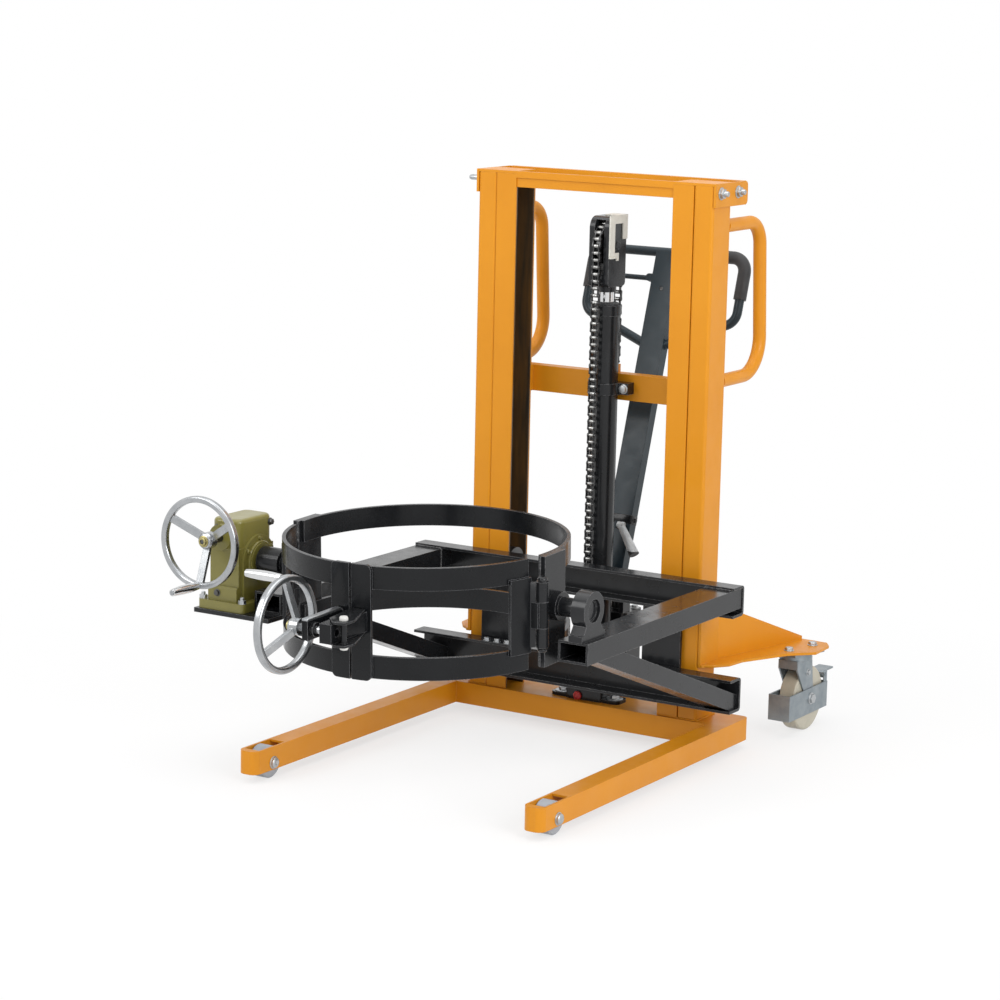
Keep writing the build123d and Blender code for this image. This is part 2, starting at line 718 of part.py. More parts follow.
# Tow handle: the arm, its loop, the heel that works the pump, and the lugs of the pedal and the lever
pedal_lift = handle_arm_depth / 2 + pedal_end_radius + face_gap
pedal_base = handle_plane.from_local_coords((pedal_x, pedal_height, pedal_lift))
pedal_left = pedal_x - pedal_radius
with BuildPart() as tow_handle:
    with BuildSketch(handle_plane.offset(-handle_arm_depth / 2)):
        with Locations((0, (handle_length + ear_radius) / 2)):
            Rectangle(handle_arm_width, handle_length - ear_radius)
    extrude(amount=handle_arm_depth)
    with BuildSketch(handle_plane.offset(-handle_arm_depth / 2)):
        with Locations((0, (handle_length + ear_radius) / 2)):
            Rectangle(handle_arm_width - 2 * handle_arm_wall,
                      handle_length - ear_radius - 4 * loop_tube_radius)
    extrude(amount=handle_arm_depth - handle_arm_wall, mode=Mode.SUBTRACT)
    with BuildLine(handle_plane) as loop_path:
        FilletPolyline(
            (handle_arm_width / 3, loop_foot),
            (loop_half_width, handle_length - loop_side),
            (loop_half_width, handle_length),
            (-loop_half_width, handle_length),
            (-loop_half_width, handle_length - loop_side),
            (-handle_arm_width / 3, loop_foot),
            radius=loop_bend,
        )
    with BuildSketch(Plane(origin=loop_path.line @ 0, z_dir=loop_path.line % 0)):
        Circle(loop_tube_radius)
    sweep()
    bar_x((-ear_inner + side_gap, ear_inner - side_gap), pivot_y, pivot_z, ear_radius)
    heel_y = plunger_y
    heel_z = plunger_top + plunger_play + heel_radius
    bar_x((-plunger_radius, plunger_radius), heel_y, heel_z, heel_radius)
    with BuildSketch(Plane.YZ.offset(-plunger_radius)):
        with BuildLine():
            Polyline((pivot_y, pivot_z + heel_lift), (heel_y, heel_z - heel_lift),
                     (heel_y, heel_z + heel_radius - heel_lift), (pivot_y, pivot_z + ear_radius - heel_lift),
                     close=True)
        make_face()
    extrude(amount=2 * plunger_radius)
    bar_x((-ear_inner, ear_inner), pivot_y, pivot_z, pivot_pin_radius + running_fit, Mode.SUBTRACT)
    with BuildSketch(handle_plane.offset(-handle_arm_depth / 2)):
        with Locations((0, hang_hole_height)):
            Circle(hang_hole_radius)
    extrude(amount=handle_arm_depth, mode=Mode.SUBTRACT)
    for ear_start in (lever_boss_half + face_gap, -lever_boss_half - face_gap - lever_ear):
        with BuildSketch(handle_plane.offset(ear_start)):
            with Locations(((-handle_arm_width / 2 + lever_pivot_x) / 2, lever_height)):
                Rectangle(-lever_pivot_x - handle_arm_width / 2, 2 * lever_boss_radius)
            with Locations((lever_pivot_x, lever_height)):
                Circle(lever_boss_radius)
        extrude(amount=lever_ear)
    with BuildSketch(handle_plane.offset(-lever_boss_half - lever_ear)):
        with Locations((lever_pivot_x, lever_height)):
            Circle(lever_pin_radius)
    extrude(amount=2 * (lever_boss_half + lever_ear))
    with BuildSketch(handle_plane.offset(handle_arm_depth / 2 - weld_lap)):
        with Locations((pedal_left - face_gap - pedal_lug / 2, pedal_height)):
            Rectangle(pedal_lug, 2 * pedal_radius)
    extrude(amount=pedal_lift + pedal_radius - handle_arm_depth / 2)
    bar_x((pedal_left - pedal_lug, pedal_x + pedal_radius), pedal_base.Y, pedal_base.Z, pedal_pin_radius)

# Release lever, squeezed up towards the top bar of the loop
with BuildPart() as release_lever:
    lever_root = handle_plane.from_local_coords((lever_pivot_x, lever_height, 0))
    with BuildSketch(Plane(origin=lever_root, z_dir=-handle_plane.x_dir)):
        Circle(lever_radius)
    extrude(amount=lever_length)
    fillet(release_lever.edges().sort_by(Axis.X)[0], lever_radius / 2)
    with BuildSketch(handle_plane.offset(-lever_boss_half)):
        with Locations((lever_pivot_x, lever_height)):
            Circle(lever_boss_radius)
    extrude(amount=2 * lever_boss_half)
    with BuildSketch(handle_plane.offset(-lever_boss_half)):
        with Locations((lever_pivot_x, lever_height)):
            Circle(lever_pin_radius + running_fit)
    extrude(amount=2 * lever_boss_half, mode=Mode.SUBTRACT)

# Rubber sleeves round the upper corners of the loop
with BuildPart() as tow_grips:
    with BuildLine(handle_plane) as grip_path:
        FilletPolyline(
            (loop_half_width, handle_length - grip_low),
            (loop_half_width, handle_length),
            (loop_half_width - grip_along, handle_length),
            radius=loop_bend,
        )
    with BuildSketch(Plane(origin=grip_path.line @ 0, z_dir=grip_path.line % 0)):
        Circle(grip_radius)
        Circle(loop_tube_radius + running_fit, mode=Mode.SUBTRACT)
    sweep()
    mirror(about=Plane.YZ)

# Foot pedal on the front of the arm, thicker towards its end
pedal_down = handle_plane.x_dir * sin(radians(pedal_splay)) - handle_plane.y_dir * cos(radians(pedal_splay))
with BuildPart() as foot_pedal:
    bar_x((pedal_x - pedal_radius, pedal_x + pedal_radius), pedal_base.Y, pedal_base.Z, pedal_radius)
    pedal_root = Plane(origin=pedal_base, z_dir=pedal_down)
    with BuildSketch(pedal_root):
        Circle(pedal_radius)
    with BuildSketch(pedal_root.offset(pedal_length)):
        Circle(pedal_end_radius)
    loft()
    bar_x((pedal_left, pedal_x + pedal_radius), pedal_base.Y, pedal_base.Z, pedal_pin_radius + running_fit,
          Mode.SUBTRACT)

# Leg rollers
leg_rollers = {}
for name, side in (("left_leg_roller", -1), ("right_leg_roller", 1)):
    with BuildPart() as leg_roller:
        play = leg_wall + side_gap
        roller_x = sorted((side * (leg_inner + play), side * (leg_outer - play)))
        bar_x(roller_x, leg_axle_y, leg_roller_radius, leg_roller_radius)
        chamfer(leg_roller.edges().filter_by(GeomType.CIRCLE), leg_roller_radius / 12)
        bar_x(roller_x, leg_axle_y, leg_roller_radius, leg_axle_radius + running_fit, Mode.SUBTRACT)
    leg_rollers[name] = leg_roller

# Carriage beams, channels that open to the front
beams = {}
for name, bottom, height in (
    ("upper_beam", upper_beam_bottom, upper_beam_height),
    ("lower_beam", lower_beam_bottom, lower_beam_height),
):
    with BuildPart() as beam:
        with BuildSketch(Plane.YZ.offset(-beam_half_length)) as beam_section:
            with Locations(((beam_front + beam_rear) / 2, bottom + height / 2)):
                Rectangle(beam_rear - beam_front, height)
            fillet(beam_section.vertices().group_by(Axis.X)[-1], 1.5 * beam_wall)
            with Locations(((beam_front + web_front) / 2, bottom + height / 2)):
                Rectangle(web_front - beam_front, height - 2 * beam_wall, mode=Mode.SUBTRACT)
        extrude(amount=2 * beam_half_length)
    beams[name] = beam

# Roller brackets behind the beams, with the stub axles, and the bracket that takes the chain's end
bracket_z = (lower_beam_bottom + 3 * beam_wall, upper_beam_top - 3 * beam_wall)
wall_outer = roller_wall_x + roller_wall
with BuildPart() as roller_brackets:
    slab((bracket_inner, bracket_outer), (beam_rear, beam_rear + bracket_wall), bracket_z)
    slab((roller_wall_x, wall_outer), (beam_rear, beam_rear + bracket_wall + roller_wall_depth), bracket_z)
    for height in (axle_low, axle_high):
        bar_x((wall_outer, roller_start + roller_width + face_gap), roller_y, height, axle_radius)
        bar_x((wall_outer, roller_start - side_gap), roller_y, height, axle_shoulder_radius)
    mirror(about=Plane.YZ)
    slab((-chain_bracket_half, chain_bracket_half), (beam_rear, chain_front_y + chain_half_height),
         (chain_bracket_top - chain_bracket_height, chain_bracket_top))

carriage_rollers = {}
for side_name, side in (("left", -1), ("right", 1)):
    for level_name, height in (("lower", axle_low), ("upper", axle_high)):
        with BuildPart() as carriage_roller:
            span = sorted((side * roller_start, side * (roller_start + roller_width)))
            bar_x(span, roller_y, height, carriage_roller_radius)
            bar_x(span, roller_y, height, axle_radius + running_fit, Mode.SUBTRACT)
        carriage_rollers[f"{side_name}_{level_name}_roller"] = carriage_roller

# Fork arms, box tubes between the flanges of the upper beam, open in front
with BuildPart() as fork_arms:
    slab((arm_inner, arm_outer), (arm_front, web_front), (arm_bottom, arm_top))
    slab((arm_inner + arm_wall, arm_outer - arm_wall), (arm_front, web_front),
         (arm_bottom + arm_wall, arm_top - arm_wall), Mode.SUBTRACT)
    mirror(about=Plane.YZ)

# Braces from the lower beam up to the underside of the arms
brace_low = lower_beam_bottom + beam_wall
brace_foot = beam_front + 2 * beam_wall
brace_slope = (arm_bottom - brace_low) / (brace_foot - brace_front)
with BuildPart() as arm_braces:
    with BuildSketch(Plane.YZ.offset(arm_inner + (arm_width - brace_width) / 2)):
        with BuildLine():
            Polyline(
                (web_front, brace_low),
                (brace_foot, brace_low),
                (brace_front, arm_bottom),
                (brace_front + brace_height / brace_slope, arm_bottom),
                (web_front, brace_low + brace_height - brace_slope * (web_front - brace_foot)),
                close=True,
            )
        make_face()
    extrude(amount=brace_width)
    mirror(about=Plane.YZ)

# Pillow block of the right trunnion
pillow_span = (pillow_x, pillow_x + pillow_length)
shaft_end = pillow_span[1] - pillow_recess
with BuildPart() as pillow_block:
    with BuildSketch(Plane.YZ.offset(pillow_x)):
        with Locations((0, arm_top + pillow_base_height / 2)):
            Rectangle(pillow_base_length, pillow_base_height)
        with BuildLine():
            Polyline(
                (-pillow_radius, arm_top + pillow_base_height),
                (pillow_radius, arm_top + pillow_base_height),
                (pillow_neck, axis_height - pillow_neck),
                (-pillow_neck, axis_height - pillow_neck),
                close=True,
            )
        make_face()
        with Locations((0, axis_height)):
            Circle(pillow_radius)
    extrude(amount=pillow_length)
    bar_x(pillow_span, 0, axis_height, trunnion_radius + running_fit, Mode.SUBTRACT)
    bar_x((shaft_end, pillow_span[1]), 0, axis_height, pillow_recess_radius, Mode.SUBTRACT)

# Platform under the left arm, and the worm gearbox on it
platform_left = gearbox_x - gearbox_base_half - platform_margin
platform_front = gearbox_base_front - platform_margin
platform_rear = gearbox_base_rear + platform_margin
notch_x = -arm_outer + (arm_width - brace_width) / 2 - platform_margin
notch_y = brace_front - platform_margin
with BuildPart() as gearbox_platform:
    with BuildSketch(Plane.XY.offset(arm_bottom - platform_thickness)):
        with BuildLine():
            Polyline(
                (platform_left, platform_front),
                (-arm_inner, platform_front),
                (-arm_inner, notch_y),
                (notch_x, notch_y),
                (notch_x, platform_rear),
                (platform_left, platform_rear),
                close=True,
            )
        make_face()
    extrude(amount=platform_thickness)

gearbox_span = (gearbox_x - gearbox_half_width, gearbox_x + gearbox_half_width)
gearbox_right = gearbox_span[1]
base_top = gearbox_seat + gearbox_base_height
with BuildPart() as gearbox_housing:
    with BuildSketch(Plane.XY.offset(gearbox_seat)):
        with Locations((gearbox_x, (gearbox_base_front + gearbox_base_rear) / 2)):
            RectangleRounded(2 * gearbox_base_half, gearbox_base_rear - gearbox_base_front, gearbox_corner)
    extrude(amount=gearbox_base_height)
    slab(gearbox_span, (gearbox_front, gearbox_rear), (base_top, axis_height + gearbox_tank[0]))
    ledge_front = gearbox_front - gearbox_ledge
    slab(gearbox_span, (ledge_front, gearbox_front), (base_top, base_top + gearbox_ledge_height))
    ledge_edges = gearbox_housing.edges().filter_by(Axis.X).group_by(Axis.Y)[1]
    chamfer(ledge_edges.sort_by(Axis.Z)[-1], gearbox_ledge / 2)
    with BuildPart() as tank:
        tank_z = (axis_height + gearbox_tank[0], axis_height + gearbox_tank[1])
        slab(gearbox_span, (gearbox_front, gearbox_rear), tank_z)
        fillet(tank.edges().filter_by(Axis.Z), tank_corner)
        fillet(tank.edges().group_by(Axis.Z)[-1], tank_edge)
    bar_y(gearbox_x, (gearbox_front - worm_nose, gearbox_front + tank_corner), worm_z, worm_boss_radius)
    pad_end = gearbox_right + output_pad
    bar_x((gearbox_right, pad_end), 0, axis_height, output_pad_radius)
    slab((gearbox_right, pad_end), (-output_pad_radius, output_pad_radius), (base_top, axis_height))
    bar_x((gearbox_x, gearbox_right + output_boss_length), 0, axis_height, output_boss_radius)
    wheel_half = wheel_gear_width / 2 + gear_clear
    bar_x((gearbox_x - wheel_half, gearbox_x + wheel_half), 0, axis_height, wheel_gear_radius + worm_clear,
          Mode.SUBTRACT)
    bar_x((gearbox_x - wheel_gear_width, gearbox_right + output_boss_length), 0, axis_height,
          trunnion_radius + running_fit, Mode.SUBTRACT)
    worm_room = worm_half_length + side_gap
    bar_y(gearbox_x, (-worm_room, worm_room), worm_z, worm_radius + worm_clear, Mode.SUBTRACT)
    bar_y(gearbox_x, (gearbox_front - worm_nose, worm_room + worm_journal_end), worm_z,
          worm_journal + running_fit, Mode.SUBTRACT)

# Worm shaft through the top of the gearbox
tilt_hub_front = tilt_hub_y - hub_length
with BuildPart() as worm_shaft:
    bar_y(gearbox_x, (-worm_half_length, worm_half_length), worm_z, worm_radius)
    bar_y(gearbox_x, (tilt_hub_front, worm_half_length + worm_journal_end), worm_z, worm_journal)

# Handwheels: a thick rim, three spokes and a hub set back. Drawn on the axis Z, then laid on the given plane.
def handwheel(plane, bore_radius, grip_angle):
    rim_middle = handwheel_radius - rim_thickness / 2
    with BuildPart() as wheel:
        with BuildSketch(Plane.XZ) as section:
            with Locations((rim_middle, 0)):
                RectangleRounded(rim_thickness, rim_width, rim_thickness / 3)
        revolve(axis=Axis.Z)
        half = spoke_thickness / 2
        for turn in range(3):
            with BuildSketch(spoke_plane(grip_angle + 120 * turn)):
                with BuildLine():
                    Polyline((0, -wheel_dish - half), (hub_radius, -wheel_dish - half),
                             (rim_middle, -half), (rim_middle, half),
                             (hub_radius, half - wheel_dish), (0, half - wheel_dish), close=True)
                make_face()
            extrude(amount=spoke_width / 2, both=True)
        hub_z = (-wheel_dish - hub_length / 2, hub_length / 2 - wheel_dish)
        with BuildSketch(Plane.XZ):
            with BuildLine():
                Polyline((0, hub_z[0]), (hub_radius, hub_z[0]), (hub_radius, hub_z[1] - hub_round),
                         (hub_radius - hub_round / 3, hub_z[1] - hub_round / 3),
                         (hub_radius - hub_round, hub_z[1]), (0, hub_z[1]), close=True)
            make_face()
        revolve(axis=Axis.Z)
        bar_z(0, 0, hub_z, bore_radius, Mode.SUBTRACT)
        pin_place = Vector(rim_middle, 0, 0).rotate(Axis.Z, grip_angle)
        bar_z(pin_place.X, pin_place.Y, (-rim_width / 2, rim_width / 2 + handgrip_length), handgrip_pin)
    with BuildPart() as placed:
        add(plane * wheel.part)
    return placed


# Turning grip on a handwheel's pin
def handgrip(plane, grip_angle):
    place = Vector(handwheel_radius - rim_thickness / 2, 0, 0).rotate(Axis.Z, grip_angle)
    start = rim_width / 2 + face_gap
    grip_span = handgrip_length - 4 * side_gap
    bore = handgrip_pin + running_fit
    with BuildPart() as grip:
        with BuildSketch(Plane.XZ) as section:
            with BuildLine():
                Polyline((bore, start), (handgrip_inner_end, start))
                Spline((handgrip_inner_end, start), (handgrip_radius, start + grip_span / 2.5),
                       (handgrip_outer_end, start + grip_span))
                Polyline((handgrip_outer_end, start + grip_span), (bore, start + grip_span), (bore, start))
            make_face()
        revolve(axis=Axis.Z)
    with BuildPart() as placed:
        add(plane * (Pos(place.X, place.Y, 0) * grip.part))
    return placed


# The tilt wheel faces the front, its grip at the bottom; the clamp wheel faces left, its grip on top
tilt_middle = tilt_hub_y - hub_length / 2 - wheel_dish
tilt_plane = Plane(origin=(gearbox_x, tilt_middle, worm_z), x_dir=(1, 0, 0), z_dir=(0, -1, 0))
clamp_middle = clamp_hub_end - hub_length / 2 - wheel_dish
clamp_plane = Plane(origin=(clamp_middle, screw_y, screw_z), x_dir=(0, 0, 1), z_dir=(-1, 0, 0))
tilt_handwheel = handwheel(tilt_plane, worm_journal, -90)
tilt_grip = handgrip(tilt_plane, -90)
clamp_grip = handgrip(clamp_plane, 0)

# Clamp handwheel with its screw; the tip stands just outside the nut
screw_tip = nut_start - face_gap
with BuildPart() as clamp_handwheel:
    add(handwheel(clamp_plane, screw_radius, 0).part)
    bar_x((clamp_hub_end - hub_length, screw_tip), screw_y, screw_z, screw_radius)

with BuildPart() as clamp_collar:
    collar_x = lug_left_start + lug_left_length + face_gap
    bar_x((collar_x, collar_x + collar_length), screw_y, screw_z, collar_radius)
    bar_x((collar_x, collar_x + collar_length), screw_y, screw_z, screw_radius + running_fit, Mode.SUBTRACT)

# Rear half hoops of the cage
with BuildPart() as rear_bands:
    with BuildSketch(spoke_plane(-rear_band_overrun)):
        with Locations((drum_radius + band_thickness / 2, cage_bottom + band_height / 2),
                       (drum_radius + band_thickness / 2, cage_top - band_height / 2)):
            Rectangle(band_thickness, band_height)
    revolve(axis=Axis.Z, revolution_arc=180 + 2 * rear_band_overrun)

# Trunnion plates outside the hoops, with the fixed hinge knuckles and their pins
knuckle_z = (cage_middle - knuckle_height / 2, cage_middle + knuckle_height / 2)
hinge_z = (cage_bottom + band_height, cage_top - band_height)
fixed_knuckles = ((hinge_z[0], knuckle_z[0] - face_gap), (knuckle_z[1] + face_gap, hinge_z[1]))
with BuildPart() as trunnion_plates:
    slab((drum_radius, trunnion_face), (-trunnion_plate_width / 2, trunnion_plate_width / 2),
         (cage_bottom, cage_top))
    for span in fixed_knuckles:
        slab((band_outer, trunnion_face), (-hinge_forward, 0), span)
        bar_z(hinge_x, -hinge_forward, span, knuckle_radius)
    bar_z(0, 0, (cage_bottom, cage_top), band_outer, Mode.SUBTRACT)
    bar_z(hinge_x, -hinge_forward, (cage_bottom, cage_top), hinge_pin_radius, Mode.SUBTRACT)
    slab((drum_radius, trunnion_face + 2 * knuckle_radius),
         (-hinge_forward - knuckle_radius, -trunnion_plate_width / 2),
         (knuckle_z[0] - face_gap, knuckle_z[1] + face_gap), Mode.SUBTRACT)
    bar_z(hinge_x, -hinge_forward, (hinge_z[0] - hinge_pin_end, hinge_z[1] + hinge_pin_end), hinge_pin_radius)
    mirror(about=Plane.YZ)

# Trunnion shafts: the right one ends in the pillow block, the left one goes through to the gearbox
with BuildPart() as trunnion_shafts:
    bar_x((trunnion_face, shaft_end), 0, axis_height, trunnion_radius)
    bar_x((trunnion_face, trunnion_face + trunnion_collar_length), 0, axis_height, trunnion_collar_radius)
    bar_x((gearbox_x - wheel_gear_width, -trunnion_face), 0, axis_height, trunnion_radius)
    bar_x((-trunnion_face - trunnion_collar_length, -trunnion_face), 0, axis_height, trunnion_collar_radius)
    bar_x((coupling_start, coupling_start + coupling_length), 0, axis_height, coupling_radius)

with BuildPart() as worm_wheel:
    gear_span = (gearbox_x - wheel_gear_width / 2, gearbox_x + wheel_gear_width / 2)
    bar_x(gear_span, 0, axis_height, wheel_gear_radius)
    bar_x(gear_span, 0, axis_height, trunnion_radius, Mode.SUBTRACT)

# Cage doors, each a quarter of the hoops with its hinge plate, knuckle and latch plate
lug_z = (screw_z - lug_height / 2, screw_z + lug_height / 2)
lug_y = (screw_y - lug_height / 2, -band_outer - tie_thickness / 2)
doors = {}
for name, side, lug_x in (
    ("left_door", -1, (lug_left_start, lug_left_start + lug_left_length)),
    ("right_door", 1, (nut_start, nut_start + nut_length)),
):
    with BuildPart() as door:
        seam = -90 + side * door_seam + door_gap
        with BuildSketch(spoke_plane(seam)):
            with Locations((drum_radius + band_thickness / 2, cage_bottom + band_height / 2),
                           (drum_radius + band_thickness / 2, cage_top - band_height / 2)):
                Rectangle(band_thickness, band_height)
        revolve(axis=Axis.Z, revolution_arc=-seam - door_start)
        with BuildPart() as latch_plate:
            with BuildSketch(spoke_plane(seam)):
                with Locations((band_outer + tie_thickness / 2, cage_middle)):
                    Rectangle(tie_thickness, cage_height + 2 * latch_plate_rise)
            revolve(axis=Axis.Z, revolution_arc=latch_plate_arc)
            corners = latch_plate.edges().filter_by(lambda edge: abs(edge.length - tie_thickness) < face_gap)
            fillet(corners.sort_by(Axis.X)[-2:], latch_plate_corner)
        with BuildSketch(spoke_plane(-door_start - hinge_plate_arc)):
            with Locations((band_outer + tie_thickness / 2, cage_middle)):
                Rectangle(tie_thickness, cage_height - 2 * band_height + 2 * hinge_plate_lap)
        revolve(axis=Axis.Z, revolution_arc=hinge_plate_arc)
        slab((drum_radius, hinge_x), (-hinge_forward - door_leaf_overlap, -hinge_forward), knuckle_z)
        bar_z(hinge_x, -hinge_forward, knuckle_z, knuckle_radius)
        bar_z(hinge_x, -hinge_forward, knuckle_z, hinge_pin_radius + running_fit, Mode.SUBTRACT)
        if side < 0:
            mirror(about=Plane.YZ, mode=Mode.REPLACE)
        slab(lug_x, lug_y, lug_z)
        bar_x(lug_x, screw_y, screw_z, screw_radius + running_fit, Mode.SUBTRACT)
    doors[name] = door

# Castors: mounting plates on the chassis, then fork with toe guard, wheel and brake pedal on each side
castor_plate_bottom = castor_top - castor_plate_thickness
castor_flat = Plane(origin=(castor_x, castor_y, 0), x_dir=(*outrigger_run, 0), z_dir=(0, 0, 1))
with BuildPart() as castor_plates:
    with BuildSketch(castor_flat.offset(castor_plate_bottom)):
        Rectangle(castor_plate_length, castor_plate_width)
    extrude(amount=castor_plate_thickness)
    mirror(about=Plane.YZ)

fork_top = castor_plate_bottom - face_gap
crown_bottom = 2 * wheel_radius + crown_clear
axle_half = fork_outer + guard_wall + axle_stub
castor_pieces = {}
for side_name, side in (("left", -1), ("right", 1)):
    x_mid = side * castor_x
    with BuildPart() as fork:
        bar_z(x_mid, castor_y, (fork_top - swivel_height, fork_top), swivel_radius)
        slab((x_mid - fork_outer, x_mid + fork_outer), (castor_y - swivel_radius, castor_y + swivel_radius),
             (crown_bottom, fork_top - swivel_height + weld_lap))
        for cheek in (-1, 1):
            cheek_x = sorted((x_mid + cheek * fork_outer, x_mid + cheek * (fork_outer - fork_wall)))
            with BuildSketch(Plane.YZ.offset(cheek_x[0])):
                with Locations((wheel_y, wheel_radius)):
                    Circle(2 * wheel_axle_radius)
                with Locations((castor_y, crown_bottom + swivel_height / 2)):
                    Rectangle(2 * swivel_radius, swivel_height)
                make_hull()
            extrude(amount=fork_wall)
            ear_x = sorted(x_mid + cheek * (fork_outer + reach) for reach in (-weld_lap, guard_wall / 2))
            ear_y = wheel_y + brake_reach
            slab(ear_x, (ear_y - brake_boss_radius, ear_y + brake_boss_radius),
                 (guard_bottom + weld_lap, brake_height + brake_boss_radius))
        with BuildSketch(Plane.XY.offset(guard_bottom)):
            with Locations((x_mid, wheel_y - guard_ahead + guard_length / 2)):
                Rectangle(2 * (fork_outer + guard_wall), guard_length)
                Rectangle(2 * (fork_outer - weld_lap), guard_length - 2 * guard_wall, mode=Mode.SUBTRACT)
        extrude(amount=guard_height)
        bar_x((x_mid - axle_half, x_mid + axle_half), wheel_y, wheel_radius, wheel_axle_radius)
        bar_x((x_mid - axle_half, x_mid + axle_half), wheel_y + brake_reach, brake_height,
              brake_pin_radius + running_fit, Mode.SUBTRACT)
    castor_pieces[f"{side_name}_castor_fork"] = fork
    with BuildPart() as wheel:
        wheel_x = (x_mid - wheel_width / 2, x_mid + wheel_width / 2)
        bar_x(wheel_x, wheel_y, wheel_radius, wheel_radius)
        fillet(wheel.edges().filter_by(GeomType.CIRCLE), wheel_width / 8)
        bar_x(wheel_x, wheel_y, wheel_radius, wheel_axle_radius + running_fit, Mode.SUBTRACT)
    castor_pieces[f"{side_name}_castor_wheel"] = wheel
    with BuildPart() as pedal:
        boss_half = fork_outer - weld_lap - side_gap
        bar_x((x_mid - boss_half, x_mid + boss_half), wheel_y + brake_reach, brake_height, brake_boss_radius)
        bar_x((x_mid - fork_outer - guard_wall, x_mid + fork_outer + guard_wall), wheel_y + brake_reach,
              brake_height, brake_pin_radius)
        slab((x_mid - brake_width / 2, x_mid + brake_width / 2),
             (wheel_y + brake_reach, wheel_y + brake_reach + brake_length),
             (brake_height + brake_boss_radius - fork_wall, brake_height + brake_boss_radius))
    castor_pieces[f"{side_name}_brake_pedal"] = pedal

# Bolts and pins of the chassis
with BuildPart() as frame_bolts:
    bar_x((leg_inner, leg_outer), leg_axle_y, leg_roller_radius, leg_axle_radius)
    for head_x in ((leg_inner - bolt_head, leg_inner), (leg_outer, leg_outer + bolt_head)):
        bar_x(head_x, leg_axle_y, leg_roller_radius, axle_head_radius)
    plate_face = mast_half_width + end_plate_thickness
    for bolt_y in (mast_front + end_bolt_front, rear_bar_front - end_bolt_rear):
        bar_x((plate_face, plate_face + bolt_head), bolt_y, mast_top - end_bolt_drop, end_bolt_radius)
    with BuildSketch(castor_flat.offset(flange_top)):
        with Locations((-castor_bolt_span / 2, -castor_bolt_out), (castor_bolt_span / 2, -castor_bolt_out)):
            Circle(bolt_radius)
    extrude(amount=bolt_head)
    mirror(about=Plane.YZ)
    clamp_mid = crossbar_bottom + crossbar_height / 2
    clamp_face = cylinder_y + clamp_strap
    bar_y(clamp_bolt_x, (clamp_face - bolt_head, clamp_face), clamp_mid, bolt_radius)
    bar_x((-pump_half_width, pump_half_width), pivot_y, pivot_z, pivot_pin_radius)
    for foot_bolt in (-foot_bolt_x, foot_bolt_x):
        bar_z(foot_bolt, foot_ear_y, (foot_ear_top, foot_ear_top + bolt_head), bolt_radius)

pieces = {
    "base_crossmember": base_crossmember,
    "straddle_legs": straddle_legs,
    "outer_posts": outer_posts,
    "mast_channels": mast_channels,
    "top_bars": top_bars,
    "top_end_plates": top_end_plates,
    "mid_crossbar": mid_crossbar,
    "outriggers": outriggers,
    "push_handles": push_handles,
    "cylinder_foot": cylinder_foot,
    "lift_cylinder": lift_cylinder,
    "cylinder_gland": cylinder_gland,
    "cylinder_clamp": cylinder_clamp,
    "pump_block": pump_block,
    "castor_plates": castor_plates,
    "frame_bolts": frame_bolts,
    "chain_rear": chain_rear,
    "lift_rod": lift_rod,
    "sheave_block": sheave_block,
    "sheave_guard": sheave_guard,
    "chain_wrap": chain_wrap,
    "chain_sheave": chain_sheave,
    "roller_brackets": roller_brackets,
    "fork_arms": fork_arms,
    "arm_braces": arm_braces,
    "pillow_block": pillow_block,
    "gearbox_platform": gearbox_platform,
    "gearbox_housing": gearbox_housing,
    "chain_front": chain_front,
    "worm_shaft": worm_shaft,
    "tilt_handwheel": tilt_handwheel,
    "tilt_grip": tilt_grip,
    "rear_bands": rear_bands,
    "trunnion_plates": trunnion_plates,
    "trunnion_shafts": trunnion_shafts,
    "worm_wheel": worm_wheel,
    "clamp_collar": clamp_collar,
    "clamp_handwheel": clamp_handwheel,
    "clamp_grip": clamp_grip,
    "tow_handle": tow_handle,
    "tow_grips": tow_grips,
    "pump_plunger": pump_plunger,
    "foot_pedal": foot_pedal,
    "release_lever": release_lever,
    **leg_rollers,
    **beams,
    **carriage_rollers,
    **doors,
    **castor_pieces,
}

# What turns with the cage is drawn upright and then leaned forward about the trunnion axis
on_cage = ("rear_bands", "trunnion_plates", "trunnion_shafts", "worm_wheel", "left_door", "right_door",
           "clamp_collar", "clamp_handwheel", "clamp_grip")
leaned = Pos(0, 0, axis_height) * Rot(cage_lean, 0, 0) * Pos(0, 0, -axis_height)
for node, builder in pieces.items():
    piece = builder.part
    if node in on_cage:
        piece = leaned * piece
    piece.label = node
    export_step(piece, f"parts/{node}.step")
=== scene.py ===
import bpy
import bmesh
from math import cos, pi, radians, sin
from mathutils import Matrix, Vector


